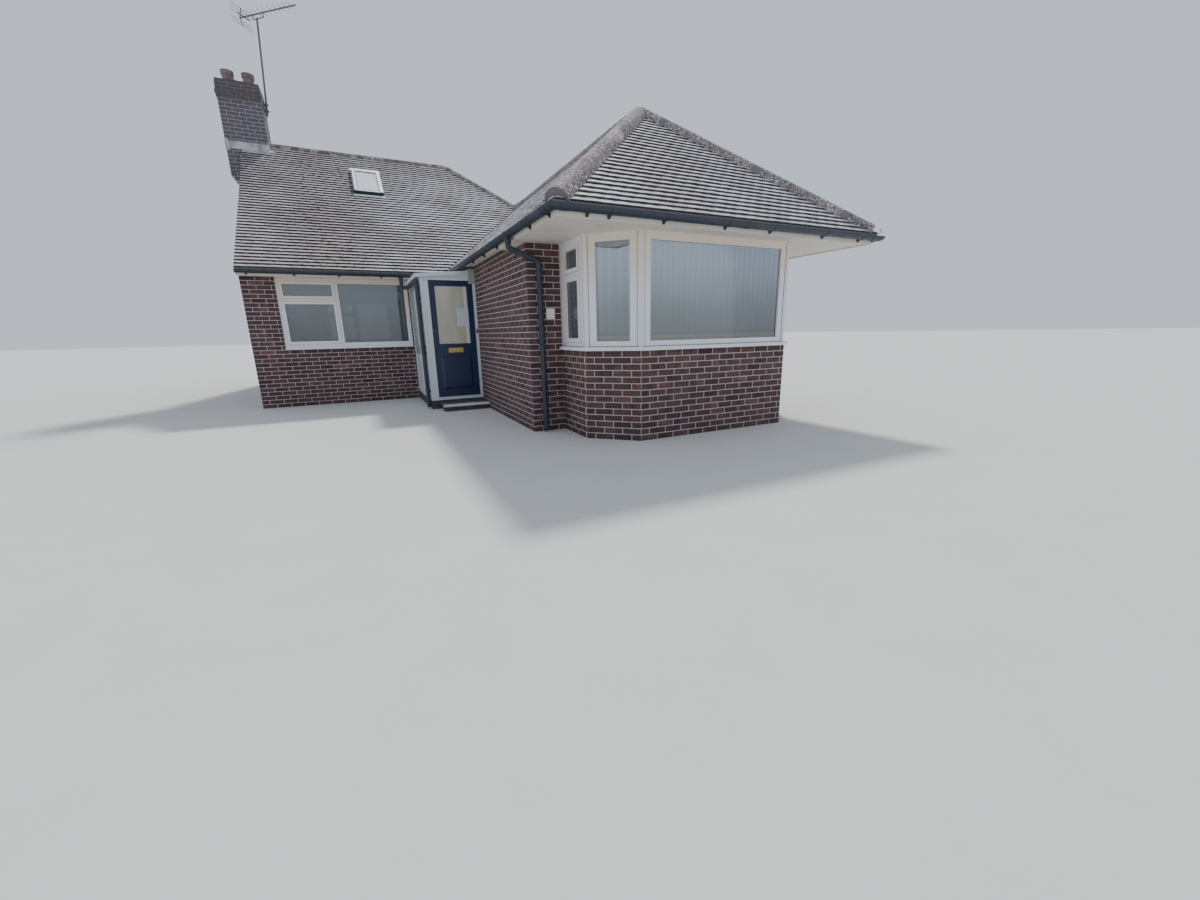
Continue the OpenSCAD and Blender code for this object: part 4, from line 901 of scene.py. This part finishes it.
def tube(path, radius, side):
    # a ring at every point of the path, square to its direction there; side is a direction that
    # the path never runs along
    path = home + np.asarray(path, float)
    ahead = unit(np.gradient(path, axis=0))
    out = unit(np.cross(ahead, side))
    turn = np.linspace(0, 2 * np.pi, pipe["sides"], endpoint=False)[:, None]
    radius = np.broadcast_to(radius, (len(path),))[:, None, None]
    ring = np.cos(turn) * out[:, None] + np.sin(turn) * np.cross(ahead, out)[:, None]
    return loftMany((path[:, None] + radius * ring)[None])


def downpipes():
    # every pipe is swept round its bends, with an outlet, sockets and clips screwed to the wall
    r, socket, clip, (ear, high) = (pipe[k] for k in ("radius", "socket", "clip", "ear"))
    parts = []
    for path, side, sockets, clips, wall in pipeRuns:
        (x, y, _), (u, v, _) = path[0], path[-1]
        parts.append(tube(bent(path, pipe["bend"]), r, side))
        parts.append(tube([(x, y, z) for z in pipe["outlet"]], (socket, socket, r), side))
        for top, foot in sockets:
            ends = [(u, v, z) for z in (top, top - pipe["lip"], foot, foot - pipe["taper"])]
            parts.append(tube(ends, (r, socket, socket, r), side))
        wall, across = np.array(wall), np.abs(wall)[[1, 0, 2]] * ear
        for z in clips:
            parts.append(tube([(u, v, z), (u, v, z + clip)], socket - 0.001, side))
            foot = np.array([u, v, z + 0.002])
            ends = [foot + way * across + wall * reach for way, reach in zip((-1, 1), pipe["wall"])]
            parts.append(boxes((np.minimum(*ends), np.maximum(*ends) + [0, 0, high])))
    return parts


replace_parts(addPiece("smoothDownpipes", "black", *downpipes(), slot="gutter_black", smooth=True), "downpipes")

board = {"seam": 0.006, "under": 0.009, "over": 0.0005, "offWall": 0.001, "offStep": 0.012, "frontJoint": 1.60,
         "leftJoint": 2.55, "mainJoint": -2.0, "right": 2.9, "rear": 2.6}


def soffitSheets():
    # boards under the eaves with open seams between them, cut to the bay
    e, s, seam, wall = eave, board, board["seam"], -board["offWall"]
    w, b, c, r, low, high = wingWidth, baySide, bayCut, bayReturn, e["soffit"], e["highSoffit"]
    left, front, main = (e[k] + e["board"] for k in ("left", "front", "main"))
    right, rear = (e[k] - e["board"] for k in ("right", "rear"))
    bay, cut = -r - c, b + c - seam * 3
    corners = [[(left, bay + seam), (cut, bay + seam), (b, -r - seam), (left, -r - seam)],
               rectangle(left, -r + seam, b, wall)]
    sheets = [(low, quad) for quad in corners]
    sheets += [(low, [(right if x == left else w - x, y) for x, y in quad[::-1]]) for quad in corners]
    plain = [(low, left, front, s["frontJoint"] - seam, bay - seam),
             (low, s["frontJoint"] + seam, front, right, bay - seam),
             (low, left, 0.0, wall, e["step"] - s["offStep"]),
             (high, left, e["step"], wall, s["leftJoint"] - seam),
             (high, left, s["leftJoint"] + seam, wall, e["main"]),
             (low, houseLeft, main, s["mainJoint"] - seam, wingReach),
             (low, s["mainJoint"] + seam, main, 0.0, wingReach)]
    plain += [(low, w, s["right"] * i + seam, right, s["right"] * (i + 1) - seam) for i in range(3)]
    plain += [(low, w, s["right"] * 3 + seam, right, rear)]
    plain += [(low, houseLeft + s["rear"] * i + seam * (i < 2), houseBack,
               houseLeft + s["rear"] * (i + 1) - seam, rear) for i in range(2)]
    plain += [(low, houseLeft + s["rear"] * 2 + seam, houseBack, w, rear)]
    sheets += [(z, rectangle(*ends)) for z, *ends in plain]
    z = np.array([z for z, _ in sheets])
    return upright([quad for _, quad in sheets], z - s["under"], z + s["over"])


addPiece("soffitSheets", "board", soffitSheets(), slot="white_board")


# Windows

def bayPlan(inset):
    # the bay's outline, moved in from the brick face
    k = inset * math.tan(math.radians(22.5))
    w, a, c, r = wingWidth, baySide, bayCut, bayReturn
    return np.array([(a + inset, 0), (a + inset, k - r), (a + c + k, inset - r - c),
                     (w - a - c - k, inset - r - c), (w - a - inset, k - r), (w - a - inset, 0)])


def panesOf(name, *rooms):
    # every box of a glass node, twelve triangles of three corners each, as its outer face: corner,
    # directions and size; outward is away from the nearer room's middle
    mesh = nodes[name].data
    points = np.array([mesh.vertices[i].co for p in mesh.polygons for i in p.vertices]).round(4)
    found = [np.unique(box, axis=0) for box in points.reshape(-1, 36, 3)]
    panes = []
    for box in sorted(found, key=lambda box: tuple(box[0])):
        floor = box[box[:, 2] < box[:, 2].min() + 0.001]
        away = np.linalg.norm(floor - floor[0], axis=1)
        _, thin, wide, *_ = floor[np.argsort(away)]
        middle = floor.mean(axis=0)
        room = min(rooms, key=lambda c: math.dist(c, (middle - home)[:2]))
        n = unit(thin - floor[0])
        n *= np.sign(n[:2] @ ((middle - home)[:2] - room))
        u, width = np.cross([0, 0, 1.0], n), np.linalg.norm(wide - floor[0])
        at = middle + n * np.linalg.norm(thin - floor[0]) / 2 - u * width / 2
        panes.append({"at": at, "u": u, "n": n, "w": width, "h": np.ptp(box[:, 2])})
    return panes


def rims(panes, section):
    # a mitred moulding round each pane from a section in (inset from the edge, out from the glass)
    up = np.array([0, 0, 1.0])
    rings = [[[p["at"] + p["u"] * (p["w"] * su + a * (1 - 2 * su)) + up * (p["h"] * sv + a * (1 - 2 * sv))
               + p["n"] * b for a, b in section]
              for su, sv in ((0, 0), (1, 0), (1, 1), (0, 1))] for p in panes]
    return loftMany(np.array(rings), closed=True)


sections = {
    "bead": [(-0.001, -0.001), (-0.001, 0.013), (0.0015, 0.013), (0.004, 0.003), (0.004, -0.001)],
    "gasket": [(0.003, -0.001), (0.003, 0.0025), (0.006, 0.0025), (0.007, -0.001)],
    "sash": [(-0.050, 0.021), (-0.050, 0.0236), (-0.0448, 0.0236), (-0.0448, 0.021)],
    "door": [(-0.001, -0.001), (-0.001, 0.013), (0.004, 0.013), (0.012, 0.002), (0.012, -0.001)],
}
wingRoom, mainRoom, porchRoom = (2.0, 2.0), (0.0, 8.0), (-0.4, 4.0)
windowPanes = panesOf("window_glass", wingRoom, mainRoom)
porchPanes = panesOf("porch_glass", wingRoom, mainRoom)
addPiece("glazingBeads", "plastic", rims(windowPanes, sections["bead"]), slot="white_upvc")
addPiece("porchBeads", "screenPlastic", rims(porchPanes, sections["bead"]), slot="white_upvc")
addPiece("gaskets", "darkTrim", rims(windowPanes + porchPanes, sections["gasket"]))

trim = {"sill": 1.0905, "bead": (2.306, 2.3262), "beadInset": (0.004, 0.021), "cover": 2.328,
          "coverInset": (0.0115, 0.0155), "coverReach": 0.021, "seal": 2.3275, "sealInset": (0.0142, 0.022),
          "sealAt": (0.0425, 0.0475), "foot": (1.0895, 1.0985)}


def strip(outer, inner):
    # the quads between two outlines
    return np.stack([outer[:-1], outer[1:], inner[1:], inner[:-1]], axis=1)


def bayTrims():
    # an angle bead under the soffit, and an L-shaped cover up each corner post
    s = trim
    outer, inner = (bayPlan(inset) for inset in s["coverInset"])
    covers = []
    for i in range(1, 5):
        back, on = (unit(outer[j] - outer[i]) * s["coverReach"] for j in (i - 1, i + 1))
        covers.append([outer[i] + back, outer[i], outer[i] + on, inner[i] + on, inner[i], inner[i] + back])
    return [upright(strip(*map(bayPlan, s["beadInset"])), *s["bead"]), upright(covers, s["sill"], s["cover"])]


def shadowLines():
    # painted shade: dark strips standing in for the shadow gaps between each corner post and the frames beside
    # it, at their feet and round the sashes
    s = trim
    face, back = map(bayPlan, s["sealInset"])
    near, far = s["sealAt"]
    quads = []
    for i in range(1, 5):
        for j in (i - 1, i + 1):
            way = unit(face[j] - face[i])
            ends = [face[i] + way * near, face[i] + way * far, back[i] + way * far, back[i] + way * near]
            quads.append(ends if j > i else ends[::-1])
    sashes = [p for p in windowPanes if p["h"] < 1.0]
    return [upright(quads, s["sill"], s["seal"]), upright(strip(face, back), *s["foot"]),
            rims(sashes, sections["sash"])]


addPiece("bayTrims", "plastic", *bayTrims(), slot="white_upvc")
addPiece("shadowLines", "seal", *shadowLines())

blindSize = {"slat": 0.089, "pitch": 0.080, "behind": 0.105, "thick": 0.0012, "turn": 24.0, "askew": 2.5,
             "margin": 0.03, "foot": -0.03, "head": 0.02, "rail": (0.02, 0.015, 0.05)}


def blindsBehind(panes):
    # upright slats on a rail behind each pane, all turned a little, each hanging slightly askew
    s = blindSize
    half, under, over = s["rail"]
    parts = []
    for p in panes:
        count = int((p["w"] + 2 * s["margin"]) / s["pitch"])
        along = (np.arange(count) - (count - 1) / 2) * s["pitch"] + p["w"] / 2
        turn = np.radians(s["turn"] + rng.normal(0, s["askew"], count))[:, None]
        d = (np.cos(turn) * p["u"] + np.sin(turn) * p["n"]) * s["slat"] / 2
        t = (np.cos(turn) * p["n"] - np.sin(turn) * p["u"]) * s["thick"] / 2
        middle = p["at"] + along[:, None] * p["u"] - p["n"] * s["behind"]
        ring = np.stack([middle - d - t, middle + d - t, middle + d + t, middle - d + t], axis=1)
        ends = [ring + [0, 0, z] for z in (s["foot"], p["h"] + s["head"])]
        parts.append(loftMany(np.stack(ends, axis=1)))
        rail = rectangle(-half, p["h"] + under, half, p["h"] + over)
        start = p["at"] - p["n"] * s["behind"] - p["u"] * s["margin"] - home
        parts.append(prisms(rail, start, p["n"], p["u"] * (p["w"] + 2 * s["margin"])))
    return parts


bayPanes = [p for p in windowPanes if p["n"][1] < -0.5 and (p["at"] - home)[1] < 0]
addPiece("blindSlats", "blind", *blindsBehind(bayPanes))


# Porch, door and lead: finish, body, slot and boxes by their opposite corners

fittings = {
    "porchTrims": ("porchPlastic", "building", "white_upvc",
                   ((-0.900, 2.845, 0.151), (-0.868, 2.851, 2.188)),
                   ((-0.806, 2.846, 0.206), (-0.776, 2.851, 2.15)),
                   ((-0.904, 2.93, 0.151), (-0.899, 2.96, 2.18)),
                   ((-0.904, 3.72, 0.151), (-0.899, 3.76, 2.18))),
    "porchFiller": ("screenPlastic", "building", "white_upvc", ((-0.113, 2.804, 2.106), (-0.004, 2.851, 2.345))),
    "doorBell": ("darkTrim", "building", None, ((-0.037, 2.836, 1.286), (-0.011, 2.851, 1.350)),
                 ((-0.030, 2.833, 1.325), (-0.018, 2.837, 1.338))),
    "doorNotice": ("paper", "door", None, ((-0.345, 2.8845, 1.408), (-0.135, 2.8865, 1.705))),
    "leadFlap": ("lead", "building", "lead", ((-3.93, 7.797, 5.17), (-3.86, 7.807, 5.40))),
}
for name, (finish, body, slot, *pairs) in fittings.items():
    addPiece(name, finish, boxes(*pairs), body=body, slot=slot)
addPiece("doorBeads", "navy", rims(panesOf("door_glass", porchRoom), sections["door"]), body="door",
         slot="door_navy")
nosing = {"start": (-0.7702, 2.4185, 0), "length": (0.7695, 0, 0),
          "profile": [(0.0, 0.078), (0.0, 0.112), (0.003, 0.119), (0.010, 0.1215), (0.040, 0.1215),
                      (0.040, 0.078)]}
addPiece("stepNosing", "wornConcrete", prisms(nosing["profile"], nosing["start"], (0, 1, 0), nosing["length"]),
         slot="step_concrete")


# Chimney

collar = {"section": [(0.127, -0.03), (0.127, 0.034), (0.148, 0.014), (0.186, 0.003), (0.186, -0.03)],
          "apart": 0.184, "foot": 6.451, "edge": 0.025, "rise": 0.065, "run": 0.19, "corners": 36}
crown = {"deep": 0.070, "gap": 0.008, "low": 0.001, "high": 0.062, "proud": 0.004, "uneven": 0.006,
         "along": 4, "across": 3}


def potCollars():
    # mortar swept up round each pot from the mound, which rises with the distance from the edge
    s, (cx, cy), (halfX, halfY) = collar, stackSize["at"], stackSize["half"]
    turn = np.linspace(0, 2 * np.pi, s["corners"], endpoint=False)[:, None]
    r, up = np.array(s["section"]).T
    rings = []
    for side in (-s["apart"], s["apart"]):
        x, y = side + r * np.cos(turn), r * np.sin(turn)
        edge = np.minimum(halfX - abs(x), halfY - abs(y))
        z = s["foot"] + np.minimum(s["edge"] + s["rise"], s["edge"] + edge * s["rise"] / s["run"]) + up
        rings.append(np.stack([cx + x, cy + y, z], axis=-1))
    return loftMany(home + np.array(rings), closed=True)


def stackCrown():
    # a last rough course round the mound: solid bricks of uneven height
    s, at = crown, np.array([*stackSize["at"], stackSize["top"]])
    x, y = np.array(stackSize["half"]) + s["proud"]
    deep, half = s["deep"], s["gap"] / 2
    inner = y - deep - s["gap"]
    xs, ys = np.linspace(-x, x, s["along"] + 1), np.linspace(-inner, inner, s["across"] + 1)
    bricks = []
    for side in (-1, 1):
        y0, y1 = sorted((side * y, side * (y - deep)))
        x0, x1 = sorted((side * x, side * (x - deep)))
        bricks += [((a + half, y0, s["low"]), (b - half, y1, s["high"])) for a, b in zip(xs, xs[1:])]
        bricks += [((x0, a + half, s["low"]), (x1, b - half, s["high"])) for a, b in zip(ys, ys[1:])]
    bricks = np.array(bricks) + at
    bricks[:, 1, 2] += rng.normal(0, s["uneven"], len(bricks))
    return boxes(*bricks)


crownTints = tintEach(0.8, 0.15, 2 * (crown["along"] + crown["across"]), 8)
addPiece("stackCrown", "chimneyBrick", stackCrown(), slot="chimney_brick", tints=crownTints)
addPiece("potCollars", "chimneyMortar", potCollars(), slot="chimney_brick", smooth=True)


# Hip irons and rooflight

iron = {"width": 0.025, "thick": 0.005,
        "curl": [(-0.22, 0.137), (-0.03, 0.027), (0.004, 0.004), (0.022, 0.0), (0.037, 0.009), (0.043, 0.024),
                 (0.041, 0.039), (0.031, 0.049), (0.018, 0.048)]}


def hipIrons():
    # a flat bar from under the lowest hip tile, which curls up in front of it to hold it: its ring
    # at every point of the path lies square to the path in the hip's upright plane
    over, low = eave["over"], eave["top"] - eave["over"] * math.tan(math.radians(eave["pitch"]))
    curl = np.array(iron["curl"])
    parts = []
    for y, way in ((eave["front"] - over, -1), (eave["rear"] + over, 1)):
        out = unit([1, way, 0])
        side = unit(np.cross(out, [0, 0, 1.0]))
        path = [eave["right"] + over, y, low] + curl[:, :1] * out + curl[:, 1:] * [[0, 0, 1.0]]
        face = unit(np.cross(side, np.gradient(path, axis=0)))
        ring = [path + a * side * iron["width"] / 2 + b * face * iron["thick"] / 2
                for a, b in ((-1, -1), (1, -1), (1, 1), (-1, 1))]
        parts.append(loftMany(home + np.stack(ring, axis=1)[None]))
    return parts


addPiece("hipIrons", "darkTrim", *hipIrons())


def slopeBoxes(*pairs):
    # boxes in (along the eaves, up the main slope from the fascia, square to it)
    pitch = math.radians(eave["pitch"])
    turn = [[1, 0, 0], [0, math.cos(pitch), math.sin(pitch)], [0, -math.sin(pitch), math.cos(pitch)]]
    points, *faces = boxes(*pairs, origin=0)
    return (points @ np.array(turn) + home + [0, eave["main"], eave["top"]], *faces)


def rooflightTrims():
    # heights: low on the tiles, over the frame at rim, and the covers at lid
    a, b, left, right = (lightSpan[k] for k in ("foot", "head", "left", "right"))
    low, rim, lid, base, lap = 0.022, 0.0715, 0.060, 0.0215, b - 0.10
    l, r, foot = left + 0.066, right - 0.066, a + 0.066
    hood = slopeBoxes(((left - 0.006, lap, 0.018), (right + 0.006, b + 0.004, 0.079)),
                      ((left + 0.013, a + 0.024, lid), (left + 0.064, lap, 0.076)),
                      ((right - 0.064, a + 0.024, lid), (right + 0.002, lap, 0.076)),
                      ((left - 0.03, b, 0.014), (right + 0.03, b + 0.11, 0.020)))
    # painted shade: dark plates on the kerb's front and left faces, a painted shadow on the apron below the
    # kerb, and painted shadow lines round the pane
    shadeBoxes = slopeBoxes(((left, a - 0.006, low), (right, a + low, rim)),
                      ((left - 0.02, a - 0.064, base), (right + 0.02, a, 0.029)),
                      ((left - 0.018, a, low), (left + 0.012, lap, rim)),
                      ((l, foot, lid), (r, a + 0.076, rim)), ((l, b - 0.112, lid), (r, b - 0.099, rim)),
                      ((l, foot, lid), (left + 0.077, lap, rim)), ((right - 0.077, foot, lid), (r, lap, rim)))
    apron = slopeBoxes(((left - 0.026, a - 0.135, base), (right + 0.025, a - 0.060, 0.0275)))
    addPiece("rooflightHood", "coverMetal", hood, slot="rooflight_metal")
    addPiece("rooflightShadeStrips", "darkTrim", shadeBoxes)
    addPiece("rooflightApron", "paleMetal", apron, slot="lead")


rooflightTrims()


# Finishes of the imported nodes

nodeFinish = {
    "concrete": "floor_slab doorstep porch_floor",
    "mortar": "party_wall main_front_wall wing_left_wall wing_front_wall bay_wall right_wall rear_wall",
    "plaster": "ceilings",
    "bedding": "main_roof_front main_roof_rear main_roof_right wing_roof_left wing_roof_right wing_roof_front",
    "ridgeTile": "ridge_tiles hip_tiles",
    "board": "soffit_boards",
    "fasciaBoard": "fascia_boards",
    "black": "gutters downpipes",
    "chimneyMortar": "chimney_stack",
    "clayPot": "chimney_pots",
    "lead": "chimney_flashing",
    "aluminium": "tv_aerial door_handle",
    "coverMetal": "rooflight_frame",
    "blindPane": "rooflight_glass",
    "plastic": "window_sills bay_frames bay_corner_posts main_window_frame side_window_frames back_door",
    "glass": "window_glass",
    "porchPlastic": "porch_front_frame porch_side_frame porch_roof",
    "sideGlass": "porch_glass",
    "navy": "front_door",
    "obscured": "door_glass",
    "brass": "letter_plate",
    "steel": "door_hinges",
    "glaze": "number_plate",
}
for finish, names in nodeFinish.items():
    for name in names.split():
        nodes[name].data.materials.clear()
        nodes[name].data.materials.append(finishes[finish])
print("nodes dressed:", len(nodes))


# Floor, light and camera

camera = {"at": (-1.9535, -5.8898, 1.2657), "yaw": 26.20, "pitch": 13.93, "roll": -1.14, "focal": 477.1,
          "width": 1200, "film": 36.0, "far": 500.0}
light = {"sunFrom": (0.30, 0.53, 0.79), "sun": 3.2, "soft": 6.0, "colour": (1.0, 0.965, 0.91),
         "sky": (0.78, 0.86, 0.97, 1.0), "skyStrength": 0.85}
floorSize = 120.0


def turned(made, x, y, z, at=(0, 0, 0)):
    # sets the directions of an object's own axes, and its place
    turn = np.eye(4)
    turn[:3] = np.stack([x, y, z, at], axis=1)
    made.matrix_world = Matrix(turn.tolist())


def addCamera():
    # the photograph's own view: heading from +Y towards +X, looking down by the pitch
    yaw, pitch, roll = (math.radians(camera[k]) for k in ("yaw", "pitch", "roll"))
    ahead = np.array([math.sin(yaw) * math.cos(pitch), math.cos(yaw) * math.cos(pitch), -math.sin(pitch)])
    right = np.array([math.cos(yaw), -math.sin(yaw), 0.0])
    up = np.cross(right, ahead)
    data = bpy.data.cameras.new("camera")
    data.sensor_fit = "HORIZONTAL"
    data.sensor_width = camera["film"]
    data.lens = camera["film"] * camera["focal"] / camera["width"]
    data.clip_end = camera["far"]
    made = addObject("camera", data)
    turned(made, right * math.cos(roll) + up * math.sin(roll), up * math.cos(roll) - right * math.sin(roll),
           -ahead, camera["at"] + home)
    bpy.context.scene.camera = made


def addLights():
    sun = bpy.data.lights.new("sun", "SUN")
    sun.energy, sun.angle, sun.color = light["sun"], math.radians(light["soft"]), light["colour"]
    z = unit(light["sunFrom"])
    x = unit(np.cross([0, 0, 1.0], z))
    turned(addObject("sun", sun), x, np.cross(z, x), z)
    world = bpy.data.worlds.new("sky")
    world.use_nodes = True
    back = world.node_tree.nodes["Background"]
    back.inputs[0].default_value, back.inputs[1].default_value = light["sky"], light["skyStrength"]
    bpy.context.scene.world = world


def addFloor():
    mesh = bpy.data.meshes.new("floor")
    corners = [(x, y, 0) for x, y in rectangle(-floorSize, -floorSize, floorSize, floorSize)]
    mesh.from_pydata(corners, [], [(0, 1, 2, 3)])
    f = Finish("floorPaint")
    mesh.materials.append(f.dress(f.mix(f.noise(2.0, 3.0), (0.60, 0.60, 0.59), (0.64, 0.64, 0.63)), 0.9))
    addObject("floor", mesh)


addCamera()
addLights()
addFloor()
bpy.context.scene.view_settings.view_transform = "AgX"
print("floor, light and camera")
